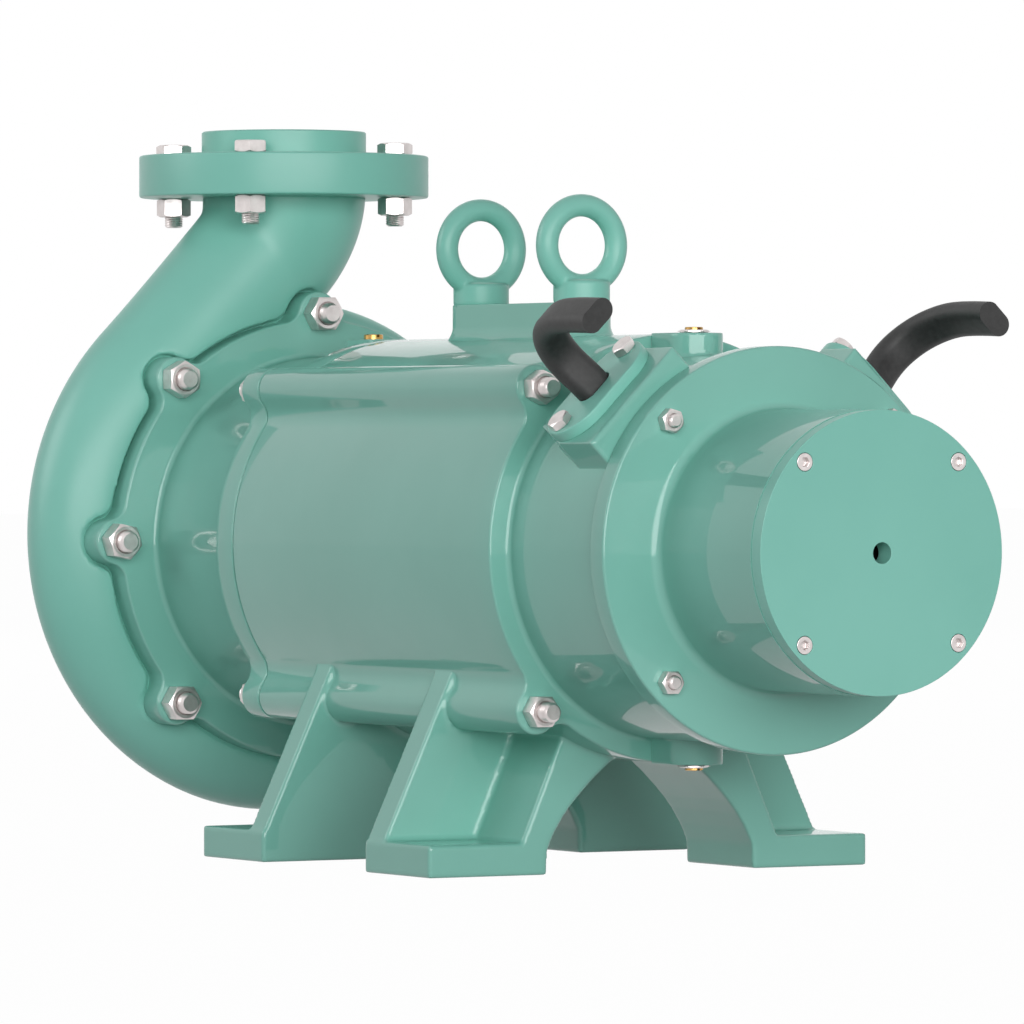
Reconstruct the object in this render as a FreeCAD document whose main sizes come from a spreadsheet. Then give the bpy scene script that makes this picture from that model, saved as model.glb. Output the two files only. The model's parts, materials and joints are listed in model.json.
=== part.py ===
import FreeCAD, Part
import Sketcher
import math
import os
import re

from FreeCAD import Placement, Rotation, Vector

# Horizontal submersible pump. X runs along the shaft from the suction mouth to the motor's end
# cover, Z is up, and the origin is the centre of the suction mouth. All sizes are in millimetres.

SIZES = {
    # stations along the shaft
    "discharge_x": 85.0,
    "mate_offset": 28.5,
    "adapter_length": 141.8,
    "stator_length": 305.7,
    "rear_length": 124.0,
    "bell_length": 128.0,
    "shaft_height": 196.6,
    # volute casing
    "spiral_room": 32.8,
    "spiral_growth": 0.027,
    "throat_radius": 30.0,
    "throat_growth": 0.093,
    "throat_ease": 0.045,
    "ease_angle": 110.0,
    "throat_width": 25.5,
    "width_growth": 0.05,
    "tongue_angle": -80.0,
    "spiral_end": 225.0,
    "neck_wall": 14.0,
    "neck_bend": 70.0,
    "casing_wall": 8.0,
    "water_offset": 5.0,
    "water_width": 14.0,
    "water_growth": 0.02,
    "drum_wall": 31.0,
    "drum_offset": 35.0,
    "casing_rim": 18.0,
    "back_wall": 10.0,
    "impeller_room": 9.0,
    "suction_edge": 18.8,
    "suction_flange": 18.0,
    "suction_wall": 14.0,
    "suction_bore": 40.0,
    "suction_bolt_room": 22.2,
    "suction_bolt_hole": 8.0,
    "wear_wall": 4.0,
    "wear_depth": 9.0,
    # discharge flanges
    "flange_edge": 19.2,
    "discharge_face": 237.5,
    "casing_flange": 14.6,
    "companion_flange_height": 14.1,
    "hub_wall": 10.5,
    "hub_height": 15.8,
    "thread_step": 3.5,
    "thread_depth": 22.0,
    "discharge_bore": 40.0,
    "bolt_room": 13.8,
    "gasket_room": 8.0,
    "gasket_height": 1.5,
    "flange_count": 4.0,
    # adapter
    "adapter_flange": 19.5,
    "rim_reach": 24.5,
    "stud_reach": 4.1,
    "adapter_lobe": 14.5,
    "adapter_count": 8.0,
    "neck_step": 10.5,
    "adapter_wall": 14.0,
    "adapter_spigot": 11.5,
    "adapter_web": 16.0,
    "bush_wall": 14.0,
    "seal_bore": 26.0,
    "lobe_blend": 12.0,
    "neck_fillet": 5.0,
    "plug_back": 27.0,
    "flange_recess": 2.0,
    # motor housings
    "motor_radius": 129.5,
    "stator_wall": 17.5,
    "tie_reach": 7.5,
    "tie_lobe": 14.0,
    "tie_count": 4.0,
    "tie_flange": 22.0,
    "rear_step": 13.5,
    "rear_shell": 17.0,
    "rear_wall": 17.0,
    "spigot_length": 6.0,
    "hub_outer": 38.0,
    "bush_outer": 27.0,
    "journal": 20.0,
    "bush_length": 60.0,
    # end bell and cover
    "ring_step": 5.0,
    "ring_thickness": 15.2,
    "barrel_room": 25.0,
    "seat_step": 4.0,
    "bell_fillet": 12.0,
    "cover_thickness": 10.0,
    "seat_wall": 4.6,
    "cover_spigot": 4.0,
    "cover_step": 0.4,
    "cover_port": 6.2,
    "screw_inset": 8.8,
    "stud_inset": 7.6,
    # feet
    "foot_length": 80.0,
    "foot_start": 8.7,
    "foot_end": 7.2,
    "foot_outer": 154.7,
    "foot_inner": 73.0,
    "foot_height": 19.6,
    "leg_foot": 90.4,
    "leg_top": 63.5,
    "arch_top": 38.0,
    "arch_mid": 59.0,
    "arch_mid_rise": 42.6,
    "gusset": 20.0,
    "sink": 2.0,
    "gusset_angle": 35.8,
    "gusset_tip": 14.0,
    # lifting block and eyes
    "eye_pitch": 124.4,
    "block_radius": 18.0,
    "block_rise": 20.5,
    "eye_ring": 24.6,
    "eye_wire": 7.0,
    "eye_rise": 35.2,
    "eye_collar": 17.5,
    "eye_collar_height": 8.0,
    "eye_shank": 8.0,
    "eye_depth": 27.0,
    # cable entries
    "cable_back": 35.7,
    "boss_rise": 14.0,
    "boss_edge": 9.0,
    "boss_end": 26.0,
    "boss_straight": 38.0,
    "boss_end_run": 74.0,
    "plate_thickness": 7.0,
    "plate_radius": 22.0,
    "plate_room": 5.2,
    "bolt_step": 14.0,
    "cable_width": 23.6,
    "cable_thickness": 14.0,
    "grommet_wall": 5.0,
    "grommet_depth": 16.0,
    "boss_depth": 29.0,
    "cable_clearance": 1.5,
    # fill and drain plugs
    "plug_boss": 17.5,
    "plug_reach": 21.3,
    "plug_rise": 13.8,
    "plug_hex": 8.6,
    "plug_hex_height": 3.0,
    "plug_brass": 5.2,
    "plug_proud": 0.5,
    "plug_shank": 8.0,
    "plug_shank_length": 14.0,
    "plug_count": 2.0,
    "slot_cut": 1.6,
    "small_plug": 6.2,
    "small_plug_height": 3.4,
    # fasteners
    "stud_large": 7.0,
    "nut_large": 21.0,
    "nut_large_height": 12.8,
    "stud_large_depth": 10.0,
    "stud_large_end": 6.0,
    "stud_mid": 6.0,
    "nut_mid": 18.0,
    "nut_mid_height": 10.8,
    "stud_mid_end": 9.0,
    "bolt_head": 20.0,
    "bolt_head_height": 8.0,
    "bolt_end": 7.0,
    "stud_small": 4.0,
    "nut_small": 13.0,
    "nut_small_height": 6.8,
    "stud_small_depth": 14.0,
    "stud_small_end": 3.0,
    "screw": 3.0,
    "screw_head": 5.2,
    "screw_head_height": 5.5,
    "screw_depth": 16.0,
    "socket": 5.0,
    "socket_depth": 3.0,
    "entry_bolt": 4.0,
    "entry_head": 13.0,
    "entry_head_height": 5.3,
    "entry_depth": 12.0,
    # running gear
    "impeller_radius": 95.0,
    "impeller_offset": 16.0,
    "impeller_outlet": 18.0,
    "shroud": 4.0,
    "eye_step": 2.0,
    "impeller_wall": 2.0,
    "impeller_hub": 21.0,
    "blade_count": 6.0,
    "blade": 4.5,
    "blade_sweep": 58.0,
    "nose_length": 17.0,
    "shaft_nose": 12.5,
    "shaft_seal": 17.5,
    "shaft_rotor": 24.0,
    "shaft_tail": 15.0,
    "journal_run": 2.0,
    "key_width": 6.0,
    "key_height": 6.0,
    "key_room": 3.0,
    "rotor_radius": 62.0,
    "air_gap": 0.8,
    "core_back": 51.0,
    "core_offset": 54.7,
    "slot_count": 24.0,
    "slot_width": 7.0,
    "slot_depth": 24.0,
    "winding_end": 25.0,
    "winding_step": 2.5,
    "cage": 9.0,
    "cage_inner": 40.0,
    "cage_outer": 60.0,
    "thrust_room": 21.0,
    "thrust_disc": 12.0,
    "thrust_pad": 12.0,
    "thrust_offset": 18.0,
    "thrust_carrier": 8.0,
    "diaphragm_rim": 3.0,
    "diaphragm_depth": 18.0,
    "diaphragm_clamp": 10.0,
    "nut_impeller": 34.0,
    "nut_impeller_height": 13.0,
    "hub_offset": 6.0,
    "seal_ring_radius": 24.0,
    "seal_seat": 10.0,
    "slinger_radius": 34.0,
    "slinger_offset": 20.0,
    "slinger_thickness": 6.0,
    # clearances
    "fit": 0.1,
    "running": 0.05,
    "bolt_clearance": 0.5,
    "wear_clearance": 0.25,
    "rest_gap": 0.3,
}

doc = FreeCAD.newDocument("pump")
sheet = doc.addObject("Spreadsheet::Sheet", "Sizes")
for row, (alias, size) in enumerate(SIZES.items(), start=1):
    sheet.set(f"A{row}", alias)
    sheet.set(f"B{row}", str(size))
    sheet.setAlias(f"B{row}", alias)
doc.recompute()

# Sizes that follow from the driving ones.
FOLLOWING = {
    "chamber_radius": "impeller_radius + impeller_room",
    "spiral_radius": "chamber_radius + spiral_room",
    "drum_radius": "chamber_radius + drum_wall",
    "drum_back": "discharge_x - drum_offset",
    "suction_neck": "suction_bore + suction_wall",
    "suction_bolt_circle": "suction_neck + suction_bolt_room",
    "suction_flange_radius": "suction_bolt_circle + suction_edge",
    "impeller_eye": "suction_bore - eye_step",
    "impeller_neck": "suction_bore + impeller_wall",
    "wear_seat": "impeller_neck + wear_wall",
    "neck_radius": "discharge_bore + neck_wall",
    "gasket_radius": "neck_radius + gasket_room",
    "discharge_bolt_circle": "gasket_radius + bolt_room",
    "discharge_radius": "discharge_bolt_circle + flange_edge",
    "thread_radius": "discharge_bore + thread_step",
    "hub_radius": "thread_radius + hub_wall",
    "motor_bore": "motor_radius - stator_wall",
    "tie_circle": "motor_radius + tie_reach",
    "adapter_neck": "motor_radius - neck_step",
    "adapter_rim": "adapter_neck + rim_reach",
    "adapter_studs": "adapter_rim + stud_reach",
    "rear_radius": "motor_radius - rear_step",
    "rear_bore": "rear_radius - rear_shell",
    "ring_radius": "rear_radius + ring_step",
    "ring_studs": "rear_radius - stud_inset",
    "barrel_radius": "ring_studs - barrel_room",
    "cover_radius": "barrel_radius - cover_step",
    "cover_screws": "barrel_radius - screw_inset",
    "cover_seat": "cover_screws - seat_wall",
    "barrel_bore": "cover_seat - seat_step",
    "thrust_radius": "barrel_bore - thrust_room",
    "leg_top_drop": "sqrt(motor_radius ^ 2 - leg_top ^ 2) + sink",
    "arch_top_drop": "sqrt(motor_radius ^ 2 - arch_top ^ 2) + sink",
    "arch_mid_drop": "shaft_height - arch_mid_rise",
    "gusset_top": "(motor_radius - sink) * cos(gusset_angle)",
    "gusset_top_drop": "(motor_radius - sink) * sin(gusset_angle)",
    "block_top": "motor_radius + block_rise",
    "eye_centre": "block_top + eye_rise",
    "plug_top": "rear_radius + plug_rise",
    "boss_top": "rear_radius + boss_rise",
    "plate_half": "cable_width / 2 + plate_room",
    "entry_bolts": "plate_half + bolt_step",
    "boss_half": "entry_bolts + boss_edge",
    "core_length": "stator_length - core_offset - core_back",
    "impeller_front": "drum_back + impeller_offset",
    "hub_start": "impeller_front + hub_offset",
    "shaft_start": "hub_start - nose_length",
    "key_length": "impeller_outlet + shroud * 2 - hub_offset - key_room",
}

# Stations along the shaft, as expressions of the sheet's sizes.
MATE = "(discharge_x + mate_offset)"
FLANGE_A = f"({MATE} + adapter_length - tie_flange)"
JOINT_A = f"({MATE} + adapter_length)"
JOINT_B = f"({JOINT_A} + stator_length)"
FLANGE_B = f"({JOINT_B} + tie_flange - 1)"
BELL = f"({JOINT_B} + rear_length)"
COVER = f"({BELL} + bell_length)"
CORE = f"({JOINT_A} + core_offset)"
BUSH_A = f"({FLANGE_A} - bush_length - 8)"
BUSH_B = f"({BELL} - rear_wall - bush_length)"
SPIGOT = f"({MATE} - adapter_spigot)"
EYE_CENTRE = f"({JOINT_A} + stator_length / 2)"
PLUG_A = f"({FLANGE_A} - plug_back)"
PLUG_B = f"({FLANGE_B} + plug_reach)"
CABLE_X = f"({BELL} - cable_back)"

sub_parts = []


def bound(expression):
    """Writes an expression out in the sheet's own sizes."""
    def word(match):
        name = match[0]
        if name in FOLLOWING:
            return f"({bound(FOLLOWING[name])})"
        return f"Sizes.{name}" if name in SIZES else name
    return re.sub(r"[a-z_]+", word, str(expression))


def number(expression):
    """The value of an expression at the sheet's present sizes."""
    return float(sheet.evalExpression(bound(expression)))


def new_body(name, place=("0", "0", "0"), turn=Rotation()):
    body = doc.addObject("PartDesign::Body", name)
    body.Label = name
    body.Placement = Placement(Vector(*[number(p) for p in place]), turn)
    for axis, expression in zip("xyz", place):
        body.setExpression(f"Placement.Base.{axis}", bound(expression))
    return body


def datum(body, role):
    return next(f for f in body.Origin.OriginFeatures if f.Role == role)


def new_sketch(body, role, lift="0"):
    """A sketch on one of the body's own planes, lifted along its normal."""
    sketch = body.newObject("Sketcher::SketchObject", f"{body.Name}_sketch")
    sketch.AttachmentSupport = [(datum(body, role), "")]
    sketch.MapMode = "FlatFace"
    sketch.AttachmentOffset = Placement(Vector(0, 0, number(lift)), Rotation())
    sketch.setExpression("AttachmentOffset.Base.z", bound(lift))
    return sketch


def bind(sketch, kind, geometry, point, expression):
    """Ties one coordinate of a sketch point to an expression."""
    size = number(expression)
    if abs(size) < 1e-9:
        axis = -2 if kind == "DistanceX" else -1
        sketch.addConstraint(Sketcher.Constraint("PointOnObject", geometry, point, axis))
        return
    index = sketch.addConstraint(Sketcher.Constraint(kind, -1, 1, geometry, point, size))
    sketch.setExpression(f"Constraints[{index}]", bound(expression))


def polygon(sketch, corners):
    """A closed outline of straight edges; each corner is a pair of expressions."""
    points = [Vector(number(x), number(y), 0) for x, y in corners]
    first = len(sketch.Geometry)
    last = first + len(points) - 1
    for i, start in enumerate(points):
        end = points[(i + 1) % len(points)]
        sketch.addGeometry(Part.LineSegment(start, end), False)
    for i in range(first, last + 1):
        after = first if i == last else i + 1
        sketch.addConstraint(Sketcher.Constraint("Coincident", i, 2, after, 1))
    for i, (x, y) in enumerate(corners):
        bind(sketch, "DistanceX", first + i, 1, x)
        bind(sketch, "DistanceY", first + i, 1, y)


def circle(sketch, x, y, radius):
    centre = Vector(number(x), number(y), 0)
    index = sketch.addGeometry(Part.Circle(centre, Vector(0, 0, 1), number(radius)), False)
    bind(sketch, "DistanceX", index, 3, x)
    bind(sketch, "DistanceY", index, 3, y)
    rule = sketch.addConstraint(Sketcher.Constraint("Radius", index, number(radius)))
    sketch.setExpression(f"Constraints[{rule}]", bound(radius))


def obround(sketch, half_length, radius, upright=False, x="0", y="0"):
    """A slot outline round (x, y): two straight sides and two round ends."""
    cx, cy = number(x), number(y)
    half, r = number(half_length), number(radius)
    along = Vector(0, 1, 0) if upright else Vector(1, 0, 0)
    across = Vector(-along.y, along.x, 0)
    centre = Vector(cx, cy, 0)
    head = centre + along * half
    tail = centre - along * half
    sketch.addGeometry(Part.LineSegment(tail - across * r, head - across * r), False)
    sketch.addGeometry(Part.Arc(head - across * r, head + along * r, head + across * r), False)
    sketch.addGeometry(Part.LineSegment(head + across * r, tail + across * r), False)
    sketch.addGeometry(Part.Arc(tail + across * r, tail - along * r, tail - across * r), False)


def pad(body, sketch, length):
    feature = body.newObject("PartDesign::Pad", f"{body.Name}_pad")
    feature.Profile = sketch
    feature.Length = number(length)
    feature.setExpression("Length", bound(length))
    doc.recompute()
    return feature


def pocket(body, sketch, length, reverse=False):
    feature = body.newObject("PartDesign::Pocket", f"{body.Name}_pocket")
    feature.Profile = sketch
    feature.Length = number(length)
    feature.setExpression("Length", bound(length))
    feature.Reversed = reverse
    before = body.Shape.Volume
    doc.recompute()
    if feature.Shape.Volume >= before - 1e-6:
        raise RuntimeError(f"{feature.Name} removes nothing")
    return feature


def spin(body, corners, cut=False):
    """Turns a closed outline of (x, radius) corners about the shaft."""
    sketch = new_sketch(body, "XZ_Plane")
    polygon(sketch, corners)
    kind = "Groove" if cut else "Revolution"
    feature = body.newObject(f"PartDesign::{kind}", f"{body.Name}_{kind.lower()}")
    feature.Profile = sketch
    feature.ReferenceAxis = (sketch, ["H_Axis"])
    feature.Angle = 360
    doc.recompute()
    return feature


def repeat(body, features, count, axis="X_Axis"):
    """Repeats features in a full circle and makes the pattern the body's tip."""
    pattern = body.newObject("PartDesign::PolarPattern", f"{body.Name}_pattern")
    pattern.Originals = features
    pattern.Axis = (datum(body, axis), [""])
    pattern.Angle = 360
    pattern.Occurrences = int(number(count))
    pattern.setExpression("Occurrences", bound(count))
    body.Tip = pattern
    doc.recompute()
    return pattern


def soften(body, radius, wanted):
    """Fillets the edges of the body's tip that the test picks."""
    tip = body.Tip
    names = [f"Edge{i + 1}" for i, edge in enumerate(tip.Shape.Edges) if wanted(edge)]
    if not names:
        raise RuntimeError(f"{body.Name} has no edge to round")
    feature = body.newObject("PartDesign::Fillet", f"{body.Name}_fillet")
    feature.Base = (tip, names)
    feature.Radius = number(radius)
    feature.setExpression("Radius", bound(radius))
    doc.recompute()
    return feature


def ring_edge(x, radius):
    """Picks the circle of that radius round the shaft at that station."""
    def test(edge):
        curve = edge.Curve
        if not isinstance(curve, Part.Circle):
            return False
        return (abs(curve.Radius - number(radius)) < 0.01 and abs(curve.Center.x - number(x)) < 0.01
                and abs(curve.Center.y) + abs(curve.Center.z) < 0.01)
    return test


def valley_edges(low, high, rim):
    """Picks the straight edges where a lobe's side meets the round rim."""
    def test(edge):
        if not isinstance(edge.Curve, Part.Line) or edge.Length < 3:
            return False
        a, b = edge.Vertexes[0].Point, edge.Vertexes[-1].Point
        straight = abs(a.y - b.y) + abs(a.z - b.z) < 1e-4
        inside = min(a.x, b.x) > number(low) - 0.01 and max(a.x, b.x) < number(high) + 0.01
        return straight and inside and abs(math.hypot(a.y, a.z) - number(rim)) < 0.01
    return test


def finish(thing, name=None):
    if name:
        thing.Label = name
    sub_parts.append(thing)
    return thing


def fastener_ring(name, radius, start, length, circle_radius, count, place=("0", "0", "0"),
                  role="YZ_Plane", axis="X_Axis", turn=45, across=None):
    """Round studs, or hexagons with a hole when a width across flats is given, in a circle."""
    body = new_body(name, place)
    sketch = new_sketch(body, role, start)
    angle = math.radians(turn)
    u = f"{circle_radius} * {math.cos(angle):.9f}"
    v = f"{circle_radius} * {math.sin(angle):.9f}"
    if across:
        hexagon(sketch, u, v, across)
    circle(sketch, u, v, radius)
    shank = pad(body, sketch, length)
    repeat(body, [shank], count, axis)
    return finish(body)


def hexagon(sketch, u, v, across, turn=30):
    """Six sides about a point; turn is the angle of the first corner."""
    corner = f"({across}) / {math.sqrt(3):.9f}"
    corners = [(f"{u} + {corner} * {math.cos(math.radians(a)):.9f}",
                f"{v} + {corner} * {math.sin(math.radians(a)):.9f}") for a in range(turn, turn + 360, 60)]
    polygon(sketch, corners)


def lobed(body, low, length, circle_radius, lobe, count, rim, turn=45):
    """Adds round lobes about the shaft and blends them into the rim."""
    sketch = new_sketch(body, "YZ_Plane", low)
    angle = math.radians(turn)
    circle(sketch, f"{circle_radius} * {math.cos(angle):.9f}",
           f"{circle_radius} * {math.sin(angle):.9f}", lobe)
    ear = pad(body, sketch, length)
    repeat(body, [ear], count)
    high = f"({low} + {length})"
    soften(body, "lobe_blend", valley_edges(low, high, rim))


def drill_ring(body, low, length, radius, circle_radius, count, turn=45):
    """Cuts a circle of holes parallel to the shaft, starting at one station."""
    sketch = new_sketch(body, "YZ_Plane", low)
    angle = math.radians(turn)
    circle(sketch, f"{circle_radius} * {math.cos(angle):.9f}",
           f"{circle_radius} * {math.sin(angle):.9f}", radius)
    holes = pocket(body, sketch, length, reverse=True)
    repeat(body, [holes], count)


def section(x, y, z, tangent, radial, axial):
    """One elliptical section of the volute, square to its centre line."""
    across = tangent.cross(Vector(1, 0, 0)).normalize()
    turn = Rotation(across, Vector(1, 0, 0), tangent, "ZXY")
    ellipse = Part.Ellipse(Vector(0, 0, 0), max(radial, axial + 1e-3), axial)
    edge = ellipse.toShape()
    edge.Placement = Placement(Vector(x, y, z), turn)
    return Part.Wire([edge])


def volute_path(count=20):
    """Points of the volute's centre line with their headings, tongue to discharge."""
    start, end = number("tongue_angle"), number("spiral_end")
    points = []
    for i in range(count):
        degrees = start + (end - start) * i / (count - 1)
        centre = number("spiral_radius") + number("spiral_growth") * degrees
        tube = number("throat_radius") + number("throat_growth") * degrees
        tube -= number("throat_ease") * max(0, degrees - number("ease_angle"))
        a = math.radians(degrees)
        points.append((degrees, Vector(0, centre * math.cos(a), -centre * math.sin(a)),
                       Vector(0, -math.sin(a), -math.cos(a)), tube))
    return points


def volute_tube(shrink, width, growth, end_radius, centre_x, top):
    """The spiral and its discharge neck as one loft; shrink is taken off the outer radius."""
    wires = []
    path = volute_path()
    for degrees, point, heading, tube in path:
        axial = width + growth * degrees
        wires.append(section(centre_x, point.y, point.z, heading, tube - shrink, min(axial, tube - shrink)))
    last, heading = path[-1][1], path[-1][2]
    bend = number("neck_bend")
    turn = math.radians(90 - number("spiral_end - 180"))
    run = (-bend * (1 - math.cos(turn)) - last.y) / heading.y
    corner = last + heading * run
    tube = path[-1][3] - shrink
    axial = width + growth * path[-1][0]
    steps = [(last + heading * run * 0.5, heading, 0.25)]
    for share in (0.0, 0.5, 1.0):
        angle = turn * (1 - share)
        point = Vector(0, -bend * (1 - math.cos(angle)), corner.z + bend * (math.sin(turn) - math.sin(angle)))
        steps.append((point, Vector(0, math.sin(angle), math.cos(angle)), 0.5 + 0.5 * share))
    discharge = number("discharge_x")
    for point, way, share in steps:
        x = centre_x + (discharge - centre_x) * share
        radial = tube + (end_radius - tube) * share
        width_here = min(axial + (end_radius - axial) * share, radial)
        wires.append(section(x, point.y, point.z, way, radial, width_here))
    wires.append(section(discharge, 0, top, Vector(0, 0, 1), end_radius, end_radius - 1e-3))
    return Part.makeLoft(wires, True, True)


def turned(name, corners):
    """A sub-part that is one outline turned about the shaft."""
    body = new_body(name)
    spin(body, corners)
    return finish(body)


def washer(name, start, end, inner, outer):
    return turned(name, [(start, inner), (start, outer), (end, outer), (end, inner)])


def tilted_sketch(body, height, side):
    """A sketch square to a cable entry's direction: x along the shaft, y round it."""
    slope = math.sqrt(0.5)
    sketch = new_sketch(body, "XY_Plane")
    sketch.AttachmentOffset = Placement(Vector(0, -side * slope * number(height), slope * number(height)),
                                        Rotation(Vector(1, 0, 0), 45 * side))
    sketch.setExpression("AttachmentOffset.Base.y", bound(f"{-side * slope:.9f} * ({height})"))
    sketch.setExpression("AttachmentOffset.Base.z", bound(f"{slope:.9f} * ({height})"))
    return sketch


def tongue(sketch, start, centre, radius):
    """An outline with a flat end at one station and a round end about another."""
    x0, x1, r = number(start), number(centre), number(radius)
    tip = x1 + math.copysign(r, x1 - x0)
    sketch.addGeometry(Part.LineSegment(Vector(x0, -r, 0), Vector(x1, -r, 0)), False)
    sketch.addGeometry(Part.Arc(Vector(x1, -r, 0), Vector(tip, 0, 0), Vector(x1, r, 0)), False)
    sketch.addGeometry(Part.LineSegment(Vector(x1, r, 0), Vector(x0, r, 0)), False)
    sketch.addGeometry(Part.LineSegment(Vector(x0, r, 0), Vector(x0, -r, 0)), False)


def drop(body, sketch, depth):
    """Pads a sketch against its normal."""
    feature = pad(body, sketch, depth)
    feature.Reversed = True
    doc.recompute()
    return feature


def lobe_point(radius, degrees):
    angle = math.radians(degrees)
    return number(radius) * math.cos(angle), number(radius) * math.sin(angle)


def volute_casing():
    """The casting: spiral, drum, suction flange, lobed rim and discharge flange."""
    discharge, mate = number("discharge_x"), number(MATE)
    along, up = Vector(1, 0, 0), Vector(0, 0, 1)
    outer = volute_tube(0, number("throat_width"), number("width_growth"), number("neck_radius"),
                        discharge, number("discharge_face - casing_flange / 2"))
    water = volute_tube(number("casing_wall"), number("water_width"), number("water_growth"),
                        number("discharge_bore"), discharge - number("water_offset"),
                        number("discharge_face + casing_flange"))
    core = new_body("casing_core")
    spin(core, [("0", "0"), ("0", "suction_flange_radius"), ("suction_flange", "suction_flange_radius"),
                ("suction_flange", "suction_neck"), ("drum_back - casing_wall", "suction_neck"),
                ("drum_back", "suction_neck + casing_wall"), ("drum_back", "drum_radius"),
                (MATE, "drum_radius"), (MATE, "0")])
    rim_start = f"({MATE} - casing_rim)"
    rim = new_body("casing_lobes")
    washer_corners = [(rim_start, "chamber_radius"), (rim_start, "adapter_rim"),
                      (MATE, "adapter_rim"), (MATE, "chamber_radius")]
    spin(rim, washer_corners)
    lobed(rim, rim_start, "casing_rim", "adapter_studs", "adapter_lobe", "adapter_count", "adapter_rim", 0)
    flange = Part.makeCylinder(number("discharge_radius"), number("casing_flange"),
                               Vector(discharge, 0, number("discharge_face - casing_flange")), up)
    shape = outer.fuse(core.Shape).fuse(rim.Shape).fuse(flange)
    wall = number("drum_back + back_wall")
    seat = wall - number("wear_depth")
    # the spiral bulges past the joint, so its back is cut out to the outline of the adapter's flange
    recess = new_body("casing_recess")
    bulge = "adapter_length / 2"
    edge = "(adapter_rim + flange_recess)"
    spin(recess, [(MATE, "0"), (MATE, edge), (f"{MATE} + {bulge}", edge), (f"{MATE} + {bulge}", "0")])
    lobed(recess, MATE, bulge, "adapter_studs", "adapter_lobe + flange_recess", "adapter_count", edge, 0)
    tools = [recess.Shape, water,
             Part.makeCylinder(number("chamber_radius"), mate - wall, Vector(wall, 0, 0), along),
             Part.makeCylinder(number("suction_bore"), wall, Vector(0, 0, 0), along),
             Part.makeCylinder(number("wear_seat"), number("wear_depth"), Vector(seat, 0, 0), along)]
    for i in range(int(number("adapter_count"))):
        y, z = lobe_point("adapter_studs", 360 * i / number("adapter_count"))
        depth = number("stud_large_depth")
        bottom = Vector(mate - depth, y, z)
        tools.append(Part.makeCylinder(number("stud_large + fit / 2"), depth, bottom, along))
    for i in range(int(number("flange_count"))):
        angle = 45 + 360 * i / number("flange_count")
        x, y = lobe_point("discharge_bolt_circle", angle)
        bottom = Vector(discharge + x, y, number("discharge_face - casing_flange"))
        tools.append(Part.makeCylinder(number("stud_mid + bolt_clearance"), number("casing_flange"),
                                       bottom, up))
        y, z = lobe_point("suction_bolt_circle", angle)
        tools.append(Part.makeCylinder(number("suction_bolt_hole"), number("suction_flange"),
                                       Vector(0, y, z), along))
    for tool in tools:
        shape = shape.cut(tool)
    casing = doc.addObject("Part::Feature", "volute_casing")
    casing.Label = "volute_casing"
    casing.Shape = shape
    casing.Placement = Placement()
    return finish(casing)


def adapter_bracket():
    """The bracket between casing and motor, with the seal bore and the front bush's hub."""
    body = new_body("adapter_bracket")
    wall = f"({BUSH_A} + bush_length)"
    flange = f"({MATE} + adapter_flange)"
    spin(body, [(SPIGOT, "seal_bore"), (SPIGOT, "chamber_radius - fit"), (MATE, "chamber_radius - fit"),
                (MATE, "adapter_rim"), (flange, "adapter_rim"), (flange, "adapter_neck"),
                (FLANGE_A, "adapter_neck"), (FLANGE_A, "motor_radius"), (JOINT_A, "motor_radius"),
                (JOINT_A, "motor_bore - fit"), (f"{JOINT_A} + spigot_length", "motor_bore - fit"),
                (f"{JOINT_A} + spigot_length", "rear_bore"), (wall, "rear_bore"),
                (wall, "bush_outer + fit / 2"), (BUSH_A, "bush_outer + fit / 2"), (BUSH_A, "hub_outer"),
                (f"{wall} - bush_wall", "hub_outer"), (f"{wall} - bush_wall", "adapter_neck - adapter_wall"),
                (f"{SPIGOT} + adapter_web", "adapter_neck - adapter_wall"),
                (f"{SPIGOT} + adapter_web", "seal_bore")])
    lobed(body, MATE, "adapter_flange", "adapter_studs", "adapter_lobe", "adapter_count", "adapter_rim", 0)
    lobed(body, FLANGE_A, "tie_flange", "tie_circle", "tie_lobe", "tie_count", "motor_radius")
    soften(body, "neck_fillet", ring_edge(flange, "adapter_neck"))
    soften(body, "neck_fillet", ring_edge(FLANGE_A, "adapter_neck"))
    boss = new_sketch(body, "XY_Plane", "plug_top")
    tongue(boss, FLANGE_A, PLUG_A, "plug_boss")
    drop(body, boss, "boss_depth - sink * 2")
    hole = new_sketch(body, "XY_Plane", "plug_top")
    circle(hole, PLUG_A, "0", "small_plug + fit / 2")
    pocket(body, hole, "boss_depth + sink")
    drill_ring(body, MATE, "adapter_flange", "stud_large + bolt_clearance", "adapter_studs",
               "adapter_count", 0)
    drill_ring(body, FLANGE_A, "tie_flange", "stud_mid + bolt_clearance", "tie_circle", "tie_count")
    return finish(body)


def adapter_plug():
    """Slotted plug of the seal chamber, behind the adapter's rear flange."""
    body = new_body("adapter_plug", (PLUG_A, "0", "0"))
    sketch = new_sketch(body, "XY_Plane", "plug_top - plug_shank_length")
    circle(sketch, "0", "0", "small_plug")
    pad(body, sketch, "plug_shank_length + small_plug_height")
    slot = new_sketch(body, "XY_Plane", "plug_top + small_plug_height")
    polygon(slot, slot_corners("small_plug"))
    pocket(body, slot, "slot_cut")
    return finish(body)


def slot_corners(radius):
    return [(f"-1 * ({radius})", "-1 * slot_cut / 2"), (radius, "-1 * slot_cut / 2"),
            (radius, "slot_cut / 2"), (f"-1 * ({radius})", "slot_cut / 2")]


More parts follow.
